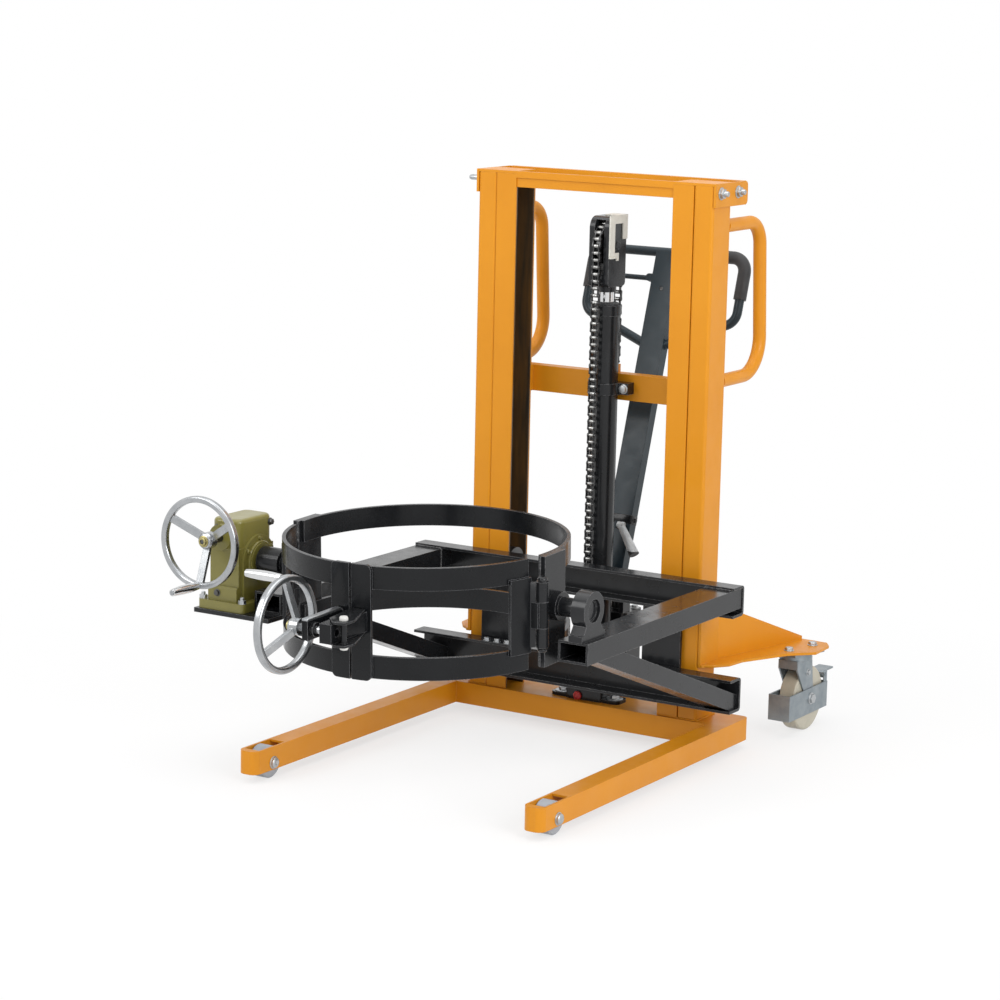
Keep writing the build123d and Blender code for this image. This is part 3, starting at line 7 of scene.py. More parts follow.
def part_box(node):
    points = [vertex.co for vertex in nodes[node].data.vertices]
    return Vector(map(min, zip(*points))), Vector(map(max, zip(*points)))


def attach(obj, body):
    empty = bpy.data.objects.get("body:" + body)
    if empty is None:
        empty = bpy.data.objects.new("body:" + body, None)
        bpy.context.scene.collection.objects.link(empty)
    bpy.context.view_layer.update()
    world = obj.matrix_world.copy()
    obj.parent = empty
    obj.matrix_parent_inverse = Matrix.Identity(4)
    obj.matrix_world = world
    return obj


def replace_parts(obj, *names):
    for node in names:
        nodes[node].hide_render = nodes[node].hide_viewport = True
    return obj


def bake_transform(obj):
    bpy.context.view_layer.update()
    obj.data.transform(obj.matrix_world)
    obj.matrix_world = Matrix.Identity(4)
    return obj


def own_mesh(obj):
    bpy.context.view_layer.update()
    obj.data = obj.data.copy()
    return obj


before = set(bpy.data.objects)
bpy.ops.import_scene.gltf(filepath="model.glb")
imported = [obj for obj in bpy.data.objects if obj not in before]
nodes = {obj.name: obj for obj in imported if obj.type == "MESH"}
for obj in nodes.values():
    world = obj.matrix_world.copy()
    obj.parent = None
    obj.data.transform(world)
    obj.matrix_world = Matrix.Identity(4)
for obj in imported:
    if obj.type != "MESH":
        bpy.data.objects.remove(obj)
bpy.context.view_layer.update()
scene = bpy.context.scene
scene.view_settings.view_transform = "Standard"
print("frame loaded:", len(nodes), "nodes")


# Shader helpers: every pattern reads Object coordinates, which are metres in the machine's own frame

def newMaterial(name):
    mat = bpy.data.materials.new(name)
    mat.use_nodes = True
    tree = mat.node_tree
    return mat, tree, tree.nodes["Principled BSDF"]


def link(tree, a, b):
    tree.links.new(a, b)


def objectPoint(tree, centre=(0, 0, 0), size=(1, 1, 1)):
    coords = tree.nodes.new("ShaderNodeTexCoord")
    mapping = tree.nodes.new("ShaderNodeMapping")
    mapping.inputs["Location"].default_value = [-c * s for c, s in zip(centre, size)]
    mapping.inputs["Scale"].default_value = size
    link(tree, coords.outputs["Object"], mapping.inputs["Vector"])
    return mapping.outputs["Vector"]


def noise(tree, point, scale, detail=3.0, rough=0.55):
    tex = tree.nodes.new("ShaderNodeTexNoise")
    tex.inputs["Scale"].default_value = scale
    tex.inputs["Detail"].default_value = detail
    tex.inputs["Roughness"].default_value = rough
    link(tree, point, tex.inputs["Vector"])
    return tex.outputs["Fac"]


def span(tree, value, low, high, toLow=0.0, toHigh=1.0):
    node = tree.nodes.new("ShaderNodeMapRange")
    node.inputs["From Min"].default_value = low
    node.inputs["From Max"].default_value = high
    node.inputs["To Min"].default_value = toLow
    node.inputs["To Max"].default_value = toHigh
    link(tree, value, node.inputs["Value"])
    return node.outputs["Result"]


def maths(tree, kind, a, b=None):
    node = tree.nodes.new("ShaderNodeMath")
    node.operation = kind
    for socket, value in zip(node.inputs, (a, b)):
        if value is None:
            continue
        if isinstance(value, (int, float)):
            socket.default_value = value
        else:
            link(tree, value, socket)
    return node.outputs["Value"]


# The colour sockets of a Mix node are its inputs 6 and 7 and its output 2
def blendColour(tree, fac, a, b):
    node = tree.nodes.new("ShaderNodeMix")
    node.data_type = "RGBA"
    link(tree, fac, node.inputs["Factor"])
    for index, value in ((6, a), (7, b)):
        if isinstance(value, tuple):
            node.inputs[index].default_value = (*value, 1.0)
        else:
            link(tree, value, node.inputs[index])
    return node.outputs[2]


# Soft edges: the bevel normal rounds the sharp edges of plate
def softEdge(tree, radius):
    bevel = tree.nodes.new("ShaderNodeBevel")
    bevel.samples = 4
    bevel.inputs["Radius"].default_value = radius
    return bevel.outputs["Normal"]


# Where the bevel normal leaves the face's own normal there is an edge
def edgeMask(tree, radius):
    geometry = tree.nodes.new("ShaderNodeNewGeometry")
    dot = tree.nodes.new("ShaderNodeVectorMath")
    dot.operation = "DOT_PRODUCT"
    link(tree, softEdge(tree, radius), dot.inputs[0])
    link(tree, geometry.outputs["Normal"], dot.inputs[1])
    return span(tree, dot.outputs["Value"], 0.995, 0.8)


def bumped(tree, bsdf, height, strength, distance, edgeRadius):
    bump = tree.nodes.new("ShaderNodeBump")
    bump.inputs["Strength"].default_value = strength
    bump.inputs["Distance"].default_value = distance
    link(tree, height, bump.inputs["Height"])
    link(tree, softEdge(tree, edgeRadius), bump.inputs["Normal"])
    link(tree, bump.outputs["Normal"], bsdf.inputs["Normal"])


# Sprayed enamel: a little orange peel, faint cloudiness and rubbed edges in a lighter worn colour, which on the
# black paints is mostly a painted highlight along the rounded edges
def enamel(name, base, cloud, wornAndHighlight, rough, wearAndHighlight=0.5, coat=0.3, peel=0.05, grease=None, gloss=0.5, scuffAndHighlightLow=0.5):
    mat, tree, bsdf = newMaterial(name)
    point = objectPoint(tree)
    clouds = span(tree, noise(tree, point, 5.5, 4), 0.3, 0.7)
    colour = blendColour(tree, clouds, base, cloud)
    scuffAndHighlightNoise = span(tree, noise(tree, point, 90, 5, 0.65), scuffAndHighlightLow, scuffAndHighlightLow + 0.22)
    # Lighter colour along the edges: rubbed wear, and on black and hoop paint mostly a painted highlight
    rubbedAndHighlit = maths(tree, "MULTIPLY", maths(tree, "MULTIPLY", edgeMask(tree, 0.0022), scuffAndHighlightNoise), wearAndHighlight)
    colour = blendColour(tree, rubbedAndHighlit, colour, wornAndHighlight)
    roughness = span(tree, noise(tree, point, 28, 4), 0.3, 0.7, rough - 0.06, rough + 0.08)
    if grease:
        mask = grease(tree)
        smear = span(tree, noise(tree, objectPoint(tree, size=(60, 60, 6)), 1.0, 4), 0.3, 0.7, 0.86, 1.0)
        mask = maths(tree, "MULTIPLY", mask, smear)
        colour = blendColour(tree, mask, colour, paint["grease"])
    link(tree, colour, bsdf.inputs["Base Color"])
    link(tree, roughness, bsdf.inputs["Roughness"])
    bsdf.inputs["Specular IOR Level"].default_value = gloss
    bsdf.inputs["Coat Weight"].default_value = coat
    bsdf.inputs["Coat Roughness"].default_value = 0.12
    bumped(tree, bsdf, noise(tree, point, 520, 2), peel, 0.0006, 0.0014)
    return mat


# Bare or plated metal, with fine scratches and cloudy plating
def plated(name, base, cloud, rough, metallic=1.0, grain=(1, 1, 1), grainScale=600, bump=0.08):
    mat, tree, bsdf = newMaterial(name)
    point = objectPoint(tree)
    clouds = span(tree, noise(tree, point, 34, 5, 0.62), 0.32, 0.68)
    link(tree, blendColour(tree, clouds, base, cloud), bsdf.inputs["Base Color"])
    bsdf.inputs["Metallic"].default_value = metallic
    scratches = noise(tree, objectPoint(tree, size=grain), grainScale, 3)
    link(tree, span(tree, scratches, 0.25, 0.75, rough - 0.07, rough + 0.09), bsdf.inputs["Roughness"])
    bumped(tree, bsdf, scratches, bump, 0.0002, 0.0009)
    return mat


# Turned rings about a handwheel's own axis
def turned(name, base, cloud, rough, centre, direction):
    mat, tree, bsdf = newMaterial(name)
    point = objectPoint(tree, centre=centre)
    clouds = span(tree, noise(tree, point, 40, 4), 0.3, 0.7)
    link(tree, blendColour(tree, clouds, base, cloud), bsdf.inputs["Base Color"])
    bsdf.inputs["Metallic"].default_value = 1.0
    rings = tree.nodes.new("ShaderNodeTexWave")
    rings.wave_type = "RINGS"
    rings.rings_direction = direction
    rings.inputs["Scale"].default_value = 160
    rings.inputs["Distortion"].default_value = 1.2
    rings.inputs["Detail"].default_value = 2.0
    link(tree, point, rings.inputs["Vector"])
    roughness = span(tree, rings.outputs["Fac"], 0.0, 1.0, rough - 0.05, rough + 0.07)
    link(tree, roughness, bsdf.inputs["Roughness"])
    bumped(tree, bsdf, rings.outputs["Fac"], 0.06, 0.0002, 0.0012)
    return mat


# Moulded plastic and rubber: fine grain, dust in the clouds
def moulded(name, base, dusty, rough, grain=700, strength=0.12):
    mat, tree, bsdf = newMaterial(name)
    point = objectPoint(tree)
    dust = span(tree, noise(tree, point, 22, 5, 0.6), 0.35, 0.75)
    link(tree, blendColour(tree, dust, base, dusty), bsdf.inputs["Base Color"])
    roughness = span(tree, noise(tree, point, 60, 3), 0.3, 0.7, rough - 0.06, rough + 0.06)
    link(tree, roughness, bsdf.inputs["Roughness"])
    bsdf.inputs["Sheen Weight"].default_value = 0.1
    bumped(tree, bsdf, noise(tree, point, grain, 2), strength, 0.0003, 0.0012)
    return mat


# Rough casting, near black and not metallic below a given height at its lower end
def castPedal(name, base, cloud, rough, metal, darkEnd, darkEndTop):
    mat = plated(name, base, cloud, rough, metal, grainScale=260, bump=0.5)
    tree = mat.node_tree
    bsdf = tree.nodes["Principled BSDF"]
    parts = tree.nodes.new("ShaderNodeSeparateXYZ")
    link(tree, objectPoint(tree), parts.inputs["Vector"])
    lowEnd = maths(tree, "LESS_THAN", parts.outputs["Z"], darkEndTop)
    cast = bsdf.inputs["Base Color"].links[0].from_socket
    link(tree, blendColour(tree, lowEnd, cast, darkEnd), bsdf.inputs["Base Color"])
    link(tree, span(tree, lowEnd, 0, 1, metal, 0.0), bsdf.inputs["Metallic"])
    return mat


# Roller chain: bright rollers in the middle, dark oiled plates outside
def chainSteel(name):
    mat, tree, bsdf = newMaterial(name)
    point = objectPoint(tree)
    parts = tree.nodes.new("ShaderNodeSeparateXYZ")
    link(tree, point, parts.inputs["Vector"])
    fromMiddle = maths(tree, "ABSOLUTE", parts.outputs["X"])
    plates = span(tree, fromMiddle, 0.0050, 0.0057)
    oil = span(tree, noise(tree, point, 160, 4), 0.35, 0.7)
    roller = blendColour(tree, oil, (0.40, 0.40, 0.39), (0.17, 0.17, 0.16))
    plate = blendColour(tree, oil, (0.035, 0.035, 0.036), (0.10, 0.10, 0.10))
    link(tree, blendColour(tree, plates, roller, plate), bsdf.inputs["Base Color"])
    bsdf.inputs["Metallic"].default_value = 0.9
    link(tree, span(tree, oil, 0.0, 1.0, 0.24, 0.42), bsdf.inputs["Roughness"])
    bumped(tree, bsdf, noise(tree, point, 900, 2), 0.1, 0.0002, 0.0006)
    return mat


# Mask of the faces inside the mast channels, where the rollers leave grease
def insideChannels(tree):
    low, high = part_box("mast_channels")
    parts = tree.nodes.new("ShaderNodeSeparateXYZ")
    link(tree, objectPoint(tree), parts.inputs["Vector"])
    wall = 0.004
    behindFront = maths(tree, "GREATER_THAN", parts.outputs["Y"], low.y + wall)
    beforeRear = maths(tree, "LESS_THAN", parts.outputs["Y"], high.y - wall)
    return maths(tree, "MULTIPLY", behindFront, beforeRear)


paint = {
    "orange": (0.672, 0.264, 0.0095),
    "orangeDeep": (0.632, 0.240, 0.0075),
    "orangeWorn": (0.800, 0.400, 0.090),
    "black": (0.0085, 0.0090, 0.0100),
    "blackCloud": (0.0130, 0.0138, 0.0155),
    # Light grey edges of the black paint: a little wear, mostly a painted highlight along the rounded edges
    "blackWornAndEdgeHighlight": (0.240, 0.240, 0.245),
    "handle": (0.014, 0.026, 0.034),
    "handleCloud": (0.021, 0.034, 0.043),
    "olive": (0.215, 0.190, 0.036),
    "oliveCloud": (0.170, 0.153, 0.030),
    "oliveWorn": (0.420, 0.390, 0.170),
    "hoop": (0.0050, 0.0055, 0.0065),
    "hoopCloud": (0.0085, 0.0092, 0.0105),
    # Light grey edges of the hoops: a little wear, mostly a painted highlight along their top edges
    "hoopWornAndEdgeHighlight": (0.190, 0.190, 0.200),
    "handleWorn": (0.160, 0.180, 0.190),
    "wheel": (0.360, 0.375, 0.390),
    "wheelCloud": (0.460, 0.470, 0.480),
    "pedal": (0.480, 0.500, 0.510),
    "pedalCloud": (0.680, 0.700, 0.710),
    # Near black colour of the pedal below a given height
    "pedalDarkEnd": (0.007, 0.007, 0.008),
    "grease": (0.026, 0.022, 0.016),
}

tiltAxis = (-0.477, -0.153, 0.51)
clampAxis = (-0.066, -0.4086, 0.436)
pedalDarkEndTop = 0.4085
looks = {
    "orange": enamel("orangeEnamel", paint["orange"], paint["orangeDeep"], paint["orangeWorn"], 0.40,
                     coat=0.08, gloss=0.25),
    "channel": enamel("greasyChannel", paint["orange"], paint["orangeDeep"], paint["orangeWorn"], 0.40,
                      coat=0.08, gloss=0.25, grease=insideChannels),
    "black": enamel("blackEnamel", paint["black"], paint["blackCloud"], paint["blackWornAndEdgeHighlight"], 0.22,
                    wearAndHighlight=0.75, coat=0.12, gloss=0.28, scuffAndHighlightLow=0.34),
    "hoop": enamel("hoopEnamel", paint["hoop"], paint["hoopCloud"], paint["hoopWornAndEdgeHighlight"], 0.24,
                   wearAndHighlight=0.75, coat=0.10, gloss=0.20, scuffAndHighlightLow=0.18),
    "handle": enamel("greyEnamel", paint["handle"], paint["handleCloud"], paint["handleWorn"], 0.38,
                     wearAndHighlight=0.4, coat=0.06, gloss=0.24),
    "olive": enamel("oliveCasting", paint["olive"], paint["oliveCloud"], paint["oliveWorn"], 0.40,
                    wearAndHighlight=0.7, coat=0.45, peel=0.3, gloss=0.4),
    "zinc": plated("zincPlate", (0.40, 0.42, 0.44), (0.52, 0.53, 0.53), 0.38),
    "fork": plated("forkZinc", (0.22, 0.255, 0.28), (0.30, 0.335, 0.355), 0.42, 0.75),
    "chrome": plated("chromePlate", (0.60, 0.61, 0.62), (0.70, 0.70, 0.70), 0.12, bump=0.02),
    "guard": plated("creamCover", (0.60, 0.59, 0.53), (0.70, 0.69, 0.63), 0.45, 0.25, grain=(1, 1, 0.05)),
    "tiltWheel": turned("turnedTiltWheel", paint["wheel"], paint["wheelCloud"], 0.27, tiltAxis, "Y"),
    "clampWheel": turned("turnedClampWheel", paint["wheel"], paint["wheelCloud"], 0.27, clampAxis, "X"),
    "chain": chainSteel("oiledChain"),
    "darkSteel": plated("darkSteel", (0.09, 0.09, 0.09), (0.13, 0.13, 0.13), 0.38),
    "bronze": plated("gearBronze", (0.50, 0.33, 0.14), (0.56, 0.38, 0.18), 0.35),
    "brass": plated("brassBolt", (0.36, 0.31, 0.13), (0.45, 0.40, 0.20), 0.36),
    "rubber": moulded("gripRubber", (0.014, 0.015, 0.017), (0.030, 0.030, 0.031), 0.6, 420, 0.35),
    "greyNylon": moulded("greyNylon", (0.37, 0.395, 0.43), (0.29, 0.305, 0.33), 0.45),
    "whiteNylon": moulded("whiteNylon", (0.72, 0.72, 0.70), (0.58, 0.57, 0.54), 0.42),
    "creamNylon": moulded("creamNylon", (0.50, 0.465, 0.37), (0.40, 0.37, 0.29), 0.42),
    "castGrey": castPedal("castPedal", paint["pedal"], paint["pedalCloud"], 0.56, 0.4, paint["pedalDarkEnd"],
                          pedalDarkEndTop),
    "redCap": moulded("redCap", (0.52, 0.02, 0.02), (0.40, 0.02, 0.02), 0.4),
}

nodeLooks = {
    "orange": ["base_crossmember", "straddle_legs", "outer_posts", "top_bars", "top_end_plates", "mid_crossbar",
               "outriggers", "push_handles"],
    "channel": ["mast_channels"],
    "black": ["cylinder_foot", "lift_cylinder", "cylinder_gland", "cylinder_clamp", "pump_block", "sheave_block",
              "upper_beam", "lower_beam", "roller_brackets", "fork_arms", "arm_braces", "pillow_block",
              "gearbox_platform", "trunnion_plates", "trunnion_shafts", "clamp_collar"],
    "hoop": ["rear_bands", "left_door", "right_door"],
    "handle": ["tow_handle", "release_lever"],
    "olive": ["gearbox_housing"],
    "zinc": ["frame_bolts"],
    "fork": ["castor_plates", "left_castor_fork", "right_castor_fork", "left_brake_pedal", "right_brake_pedal"],
    "guard": ["sheave_guard"],
    "chrome": ["lift_rod", "pump_plunger", "tilt_grip", "clamp_grip"],
    "tiltWheel": ["tilt_handwheel"],
    "clampWheel": ["clamp_handwheel"],
    "chain": ["chain_front", "chain_wrap", "chain_rear"],
    "darkSteel": ["chain_sheave", "worm_shaft", "left_lower_roller", "left_upper_roller", "right_lower_roller",
                  "right_upper_roller"],
    "bronze": ["worm_wheel"],
    "rubber": ["tow_grips"],
    "greyNylon": ["left_leg_roller", "right_leg_roller"],
    "creamNylon": ["left_castor_wheel", "right_castor_wheel"],
    "castGrey": ["foot_pedal"],
}
dressed = set()
for look, names in nodeLooks.items():
    for name in names:
        mesh = nodes[name].data
        mesh.materials.clear()
        mesh.materials.append(looks[look])
        dressed.add(name)
print("dressed", len(dressed), "nodes; left over:", sorted(set(nodes) - dressed))


# Piece helpers: each form is made with bmesh at its own place in the machine's frame

def aim(place, axis):
    turn = Vector((0, 0, 1)).rotation_difference(Vector(axis)).to_matrix().to_4x4()
    return Matrix.Translation(place) @ turn


def addForm(bm, form, matrix):
    bmesh.ops.recalc_face_normals(form, faces=form.faces)
    form.transform(matrix)
    scratch = bpy.data.meshes.new("scratch")
    form.to_mesh(scratch)
    form.free()
    bm.from_mesh(scratch)
    bpy.data.meshes.remove(scratch)


# A turned form from (radius, height) pairs
def turnedForm(profile, steps=32):
    form = bmesh.new()
    verts = [form.verts.new((r, 0, z)) for r, z in profile]
    edges = [form.edges.new(pair) for pair in zip(verts, verts[1:])]
    bmesh.ops.spin(form, geom=verts + edges, cent=(0, 0, 0), axis=(0, 0, 1), angle=2 * pi, steps=steps,
                   use_merge=True)
    bmesh.ops.remove_doubles(form, verts=form.verts, dist=1e-6)
    return form


def raiseFaces(form, faces, height):
    grown = bmesh.ops.extrude_face_region(form, geom=faces)
    moved = [v for v in grown["geom"] if isinstance(v, bmesh.types.BMVert)]
    bmesh.ops.translate(form, vec=(0, 0, height), verts=moved)


def breakEdges(form, edges, offset, segments=2):
    bmesh.ops.bevel(form, geom=edges, offset=offset, segments=segments, profile=0.5, affect="EDGES",
                    material=-1)


# A hexagon with its top edges broken
def hexForm(flats, height):
    form = bmesh.new()
    bmesh.ops.create_circle(form, cap_ends=True, segments=6, radius=flats / 2 / cos(pi / 6))
    raiseFaces(form, form.faces[:], height)
    breakEdges(form, [e for e in form.edges if all(v.co.z > height - 1e-6 for v in e.verts)], flats * 0.07)
    return form


# A flat form from its outline
def flatForm(outline, thickness):
    form = bmesh.new()
    face = form.faces.new([form.verts.new((x, y, 0)) for x, y in outline])
    raiseFaces(form, [face], thickness)
    return form


def riseOf(edge):
    return abs(edge.verts[0].co.z - edge.verts[1].co.z)


# A flat plate with rounded upright corners and broken edges
def plateForm(outline, thickness, corner, edge):
    form = flatForm(outline, thickness)
    breakEdges(form, [e for e in form.edges if riseOf(e) > thickness / 2], corner, segments=4)
    breakEdges(form, [e for e in form.edges if riseOf(e) < 1e-7], edge)
    return form


# A hexagon head or nut on a washer, with the bolt's end standing out of it where stud is given
def addBolt(bm, place, axis, flats, height, washer, stud=0.0):
    matrix = aim(place, axis)
    lift = flats * 0.1
    ring = [(0, 0), (washer, 0), (washer, lift * 0.7), (washer * 0.94, lift), (0, lift)]
    addForm(bm, turnedForm(ring), matrix)
    addForm(bm, hexForm(flats, height), matrix @ Matrix.Translation((0, 0, lift)))
    if stud:
        top = lift + height
        shank, tip = flats * 0.30, flats * 0.24
        end = top + stud * 1.2
        rod = [(shank, top - 0.001), (shank, top + stud), (tip, end), (0, end)]
        addForm(bm, turnedForm(rod, 20), matrix)


# A weld seam: overlapping beads along a line, a little larger and smaller in turn
bead = {"spacing": 1.15, "swell": 0.12, "turn": 2.4}


def addWeld(bm, start, end, radius):
    count = max(2, int((end - start).length / (radius * bead["spacing"])))
    for k in range(count + 1):
        form = bmesh.new()
        swell = 1 + bead["swell"] * sin(k * bead["turn"])
        bmesh.ops.create_icosphere(form, subdivisions=1, radius=radius * swell)
        addForm(bm, form, Matrix.Translation(start.lerp(end, k / count)))


# A piece is attached to its body where one is given, and left loose where none is
def finishPiece(name, bm, look, body):
    mesh = bpy.data.meshes.new(name)
    bm.to_mesh(mesh)
    bm.free()
    mesh.shade_smooth()
    mesh.set_sharp_from_angle(angle=radians(38))
    mesh.materials.append(looks[look])
    piece = bpy.data.objects.new(name, mesh)
    scene.collection.objects.link(piece)
    if body:
        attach(piece, body)
    return piece


# The cage and its doors are drawn upright and lean a little forward about the trunnions
cage = {"lean": radians(2.1), "height": 0.454}
cageTurn = Matrix.Translation((0, 0, cage["height"])) @ Matrix.Rotation(cage["lean"], 4, "X")
cageUp = cageTurn.to_3x3() @ Vector((0, 0, 1))


def onCage(x, y, z):
    return cageTurn @ Vector((x, y, z - cage["height"]))


# The tow handle leans back: a point given along the arm from its pivot, and out from its front face
tow = {"lean": radians(17.6), "pivot": (0.777, 0.314)}
towTurn = Matrix.Rotation(-tow["lean"], 4, "X")


def onTow(x, along, out):
    return Vector((0, *tow["pivot"])) + towTurn @ Vector((x, -out, along))


# Bolts of the frame: top end plates, castor flanges, tow pivot, cylinder clamp and pump.
# A size is the width over the flats, the height and the washer's radius
frameBolts = {
    "endX": 0.3069, "endY": (0.675, 0.754), "endZ": 1.249, "end": (0.0206, 0.0068, 0.0140),
    "thread": {-1: 0.020, 1: 0.008},
    "flangeXY": ((0.4038, 0.9009), (0.4234, 0.9826)), "flangeZ": 0.1999, "flange": (0.0168, 0.0064, 0.0120),
    "pivotX": 0.0449, "pivot": (0.0240, 0.0080, 0.0160),
    "clampPlace": (0.047, 0.7281, 0.789), "clamp": (0.0168, 0.0064, 0.0110),
    "pumpX": (-0.036, 0.036), "lidYZ": (0.832, 0.2619), "lid": (0.0130, 0.0060, 0.0095),
    "rearY": 0.8499, "rearZ": (0.105, 0.215), "rear": (0.0110, 0.0050, 0.0085),
}


def makeFrameBolts():
    b = frameBolts
    bm = bmesh.new()
    for side in (-1, 1):
        for y in b["endY"]:
            addBolt(bm, (side * b["endX"], y, b["endZ"]), (side, 0, 0), *b["end"], b["thread"][side])
        for x, y in b["flangeXY"]:
            addBolt(bm, (side * x, y, b["flangeZ"]), (0, 0, 1), *b["flange"])
        addBolt(bm, (side * b["pivotX"], *tow["pivot"]), (side, 0, 0), *b["pivot"])
    addBolt(bm, b["clampPlace"], (0, -1, 0), *b["clamp"])
    for x in b["pumpX"]:
        addBolt(bm, (x, *b["lidYZ"]), (0, 0, 1), *b["lid"])
        for z in b["rearZ"]:
            addBolt(bm, (x, b["rearY"], z), (0, 1, 0), *b["rear"])
    finishPiece("frame_bolt_heads", bm, "zinc", "chassis")


# Domed heads over the leg axles, inside and outside both legs
axleHead = {"y": -0.081, "z": 0.035, "outer": 0.3799, "inner": 0.3321,
            "dome": [(0, 0), (0.0140, 0), (0.0140, 0.0014), (0.0118, 0.0020), (0.0114, 0.0062), (0.0096, 0.0080),
                     (0.0052, 0.0089), (0.0040, 0.0080), (0, 0.0080)]}


def makeAxleHeads():
    bm = bmesh.new()
    for side in (-1, 1):
        for x, way in ((axleHead["outer"], side), (axleHead["inner"], -side)):
            place = aim((side * x, axleHead["y"], axleHead["z"]), (way, 0, 0))
            addForm(bm, turnedForm(axleHead["dome"]), place)
    finishPiece("leg_axle_heads", bm, "zinc", "chassis")


# Rounded walls at the corners of the leg tips
legTip = {"x": (0.350, 0.362), "y": -0.128, "outer": 0.01806, "inner": 0.0130, "low": 0.0194, "high": 0.0652,
          "first": (180, 270), "step": 10}


def makeLegCorners():
    bm = bmesh.new()
    for side in (-1, 1):
        for x, first in zip(legTip["x"], legTip["first"]):
            arc = [radians(a) for a in range(first, first + 91, legTip["step"])]
            rims = [(legTip["outer"], a) for a in arc] + [(legTip["inner"], a) for a in reversed(arc)]
            outline = [(side * (x + r * cos(a)), legTip["y"] + r * sin(a)) for r, a in rims]
            form = flatForm(outline, legTip["high"] - legTip["low"])
            addForm(bm, form, Matrix.Translation((0, 0, legTip["low"])))
    finishPiece("leg_tip_corners", bm, "orange", "chassis")


# Castors: axle nuts and cheek bolts
castor = {"x": 0.400, "half": 0.0269, "axleYZ": (0.979, 0.075), "nut": (0.0200, 0.0060, 0.0140),
          "cheek": 0.0244, "boltYZ": (0.962, 0.140), "bolt": (0.0110, 0.0042, 0.0080)}


def makeCastorParts(side, name):
    bm = bmesh.new()
    middle = side * castor["x"]
    for way in (-1, 1):
        addBolt(bm, (middle + way * castor["half"], *castor["axleYZ"]), (way, 0, 0), *castor["nut"])
        addBolt(bm, (middle + way * castor["cheek"], *castor["boltYZ"]), (way, 0, 0), *castor["bolt"])
    finishPiece(name + "_castor_nuts", bm, "zinc", name + "_castor")


# Handwheel hubs: a brass bolt with a dark socket in its middle
hub = {"tilt": (-0.477, -0.1399, 0.51), "clamp": (-0.0529, -0.409, 0.451),
       "profile": [(0, -0.002), (0.0125, -0.002), (0.0125, 0.0012), (0.01125, 0.0020), (0.0095, 0.0020),
                   (0.0092, 0.0058), (0.0082, 0.0066), (0.0052, 0.0066), (0.0052, 0.0040), (0, 0.0040)],
       "socketFlats": 0.008632, "socketHeight": 0.0022, "socketLift": 0.0036}


def makeHubBolt(name, place, axis, body):
    bm = bmesh.new()
    matrix = aim(place, axis)
    addForm(bm, turnedForm(hub["profile"]), matrix)
    finishPiece(name, bm, "brass", body)
    bm = bmesh.new()
    lifted = matrix @ Matrix.Translation((0, 0, hub["socketLift"]))
    addForm(bm, hexForm(hub["socketFlats"], hub["socketHeight"]), lifted)
    finishPiece(name + "_socket", bm, "darkSteel", body)


# Gearbox: foot nuts, cover screws round a collar, and its level, filler and drain plugs
gearbox = {
    "footX": (-0.529, -0.425), "footY": (-0.072, 0.0605), "footZ": 0.3689,
    "footNut": (0.0150, 0.0070, 0.0090, 0.005),
    "cover": (-0.4331, 0, 0.454), "screwCircle": 0.0470, "screws": 6, "screw": (0.0080, 0.0036, 0.0056),
    "collar": [(0.0385, 0), (0.0425, 0), (0.0425, 0.004), (0.0405, 0.006), (0.0385, 0.006)],
    "plugs": [((-0.497, -0.0659, 0.526), (0, -1, 0), (0.0120, 0.0050, 0.0085)),
              ((-0.4391, 0.046, 0.530), (1, 0, 0), (0.0120, 0.0060, 0.0085)),
              ((-0.490, -0.0739, 0.386), (0, -1, 0), (0.0110, 0.0050, 0.0080))],
}


def makeGearboxParts():
    bm = bmesh.new()
    for x in gearbox["footX"]:
        for y in gearbox["footY"]:
            addBolt(bm, (x, y, gearbox["footZ"]), (0, 0, 1), *gearbox["footNut"])
    finishPiece("gearbox_foot_nuts", bm, "zinc", "carriage")
    bm = bmesh.new()
    coverPlace = aim(gearbox["cover"], (1, 0, 0))
    for k in range(gearbox["screws"]):
        angle = 2 * pi * (k + 0.5) / gearbox["screws"]
        out = Vector((0, cos(angle), sin(angle))) * gearbox["screwCircle"]
        addBolt(bm, Vector(gearbox["cover"]) + out, (1, 0, 0), *gearbox["screw"])
    addForm(bm, turnedForm(gearbox["collar"], 40), coverPlace)
    finishPiece("gearbox_cover_screws", bm, "olive", "carriage")
    bm = bmesh.new()
    for place, axis, size in gearbox["plugs"]:
        addBolt(bm, place, axis, *size)
    finishPiece("gearbox_plugs", bm, "darkSteel", "carriage")


# Latch: yoke plates on the right door with a pin and white bushes, and a bright strip on the left door
latch = {
    "level": -0.003, "gap": 0.0210, "plate": 0.0050, "post": (0.070, -0.402),
    "yoke": [(0.026, -0.312), (0.056, -0.306), (0.088, -0.392), (0.084, -0.420), (0.060, -0.426),
             (0.034, -0.400)],
    "pin": [(0, -0.0270), (0.0065, -0.0270), (0.0065, 0.0270), (0, 0.0270)],
    "bush": [(0, 0), (0.0088, 0), (0.0088, 0.0055), (0.0072, 0.0080), (0, 0.0080)], "bushSeat": 0.0258,
    "strip": [(-0.0125, -0.4300), (0.0025, -0.4300), (0.0025, -0.3120), (-0.0125, -0.3120)],
    "stripLift": 0.0199, "stripPlate": 0.0040,
}


def onLatch(x, y, up):
    return cageTurn @ Matrix.Translation((x, y, latch["level"] + up))


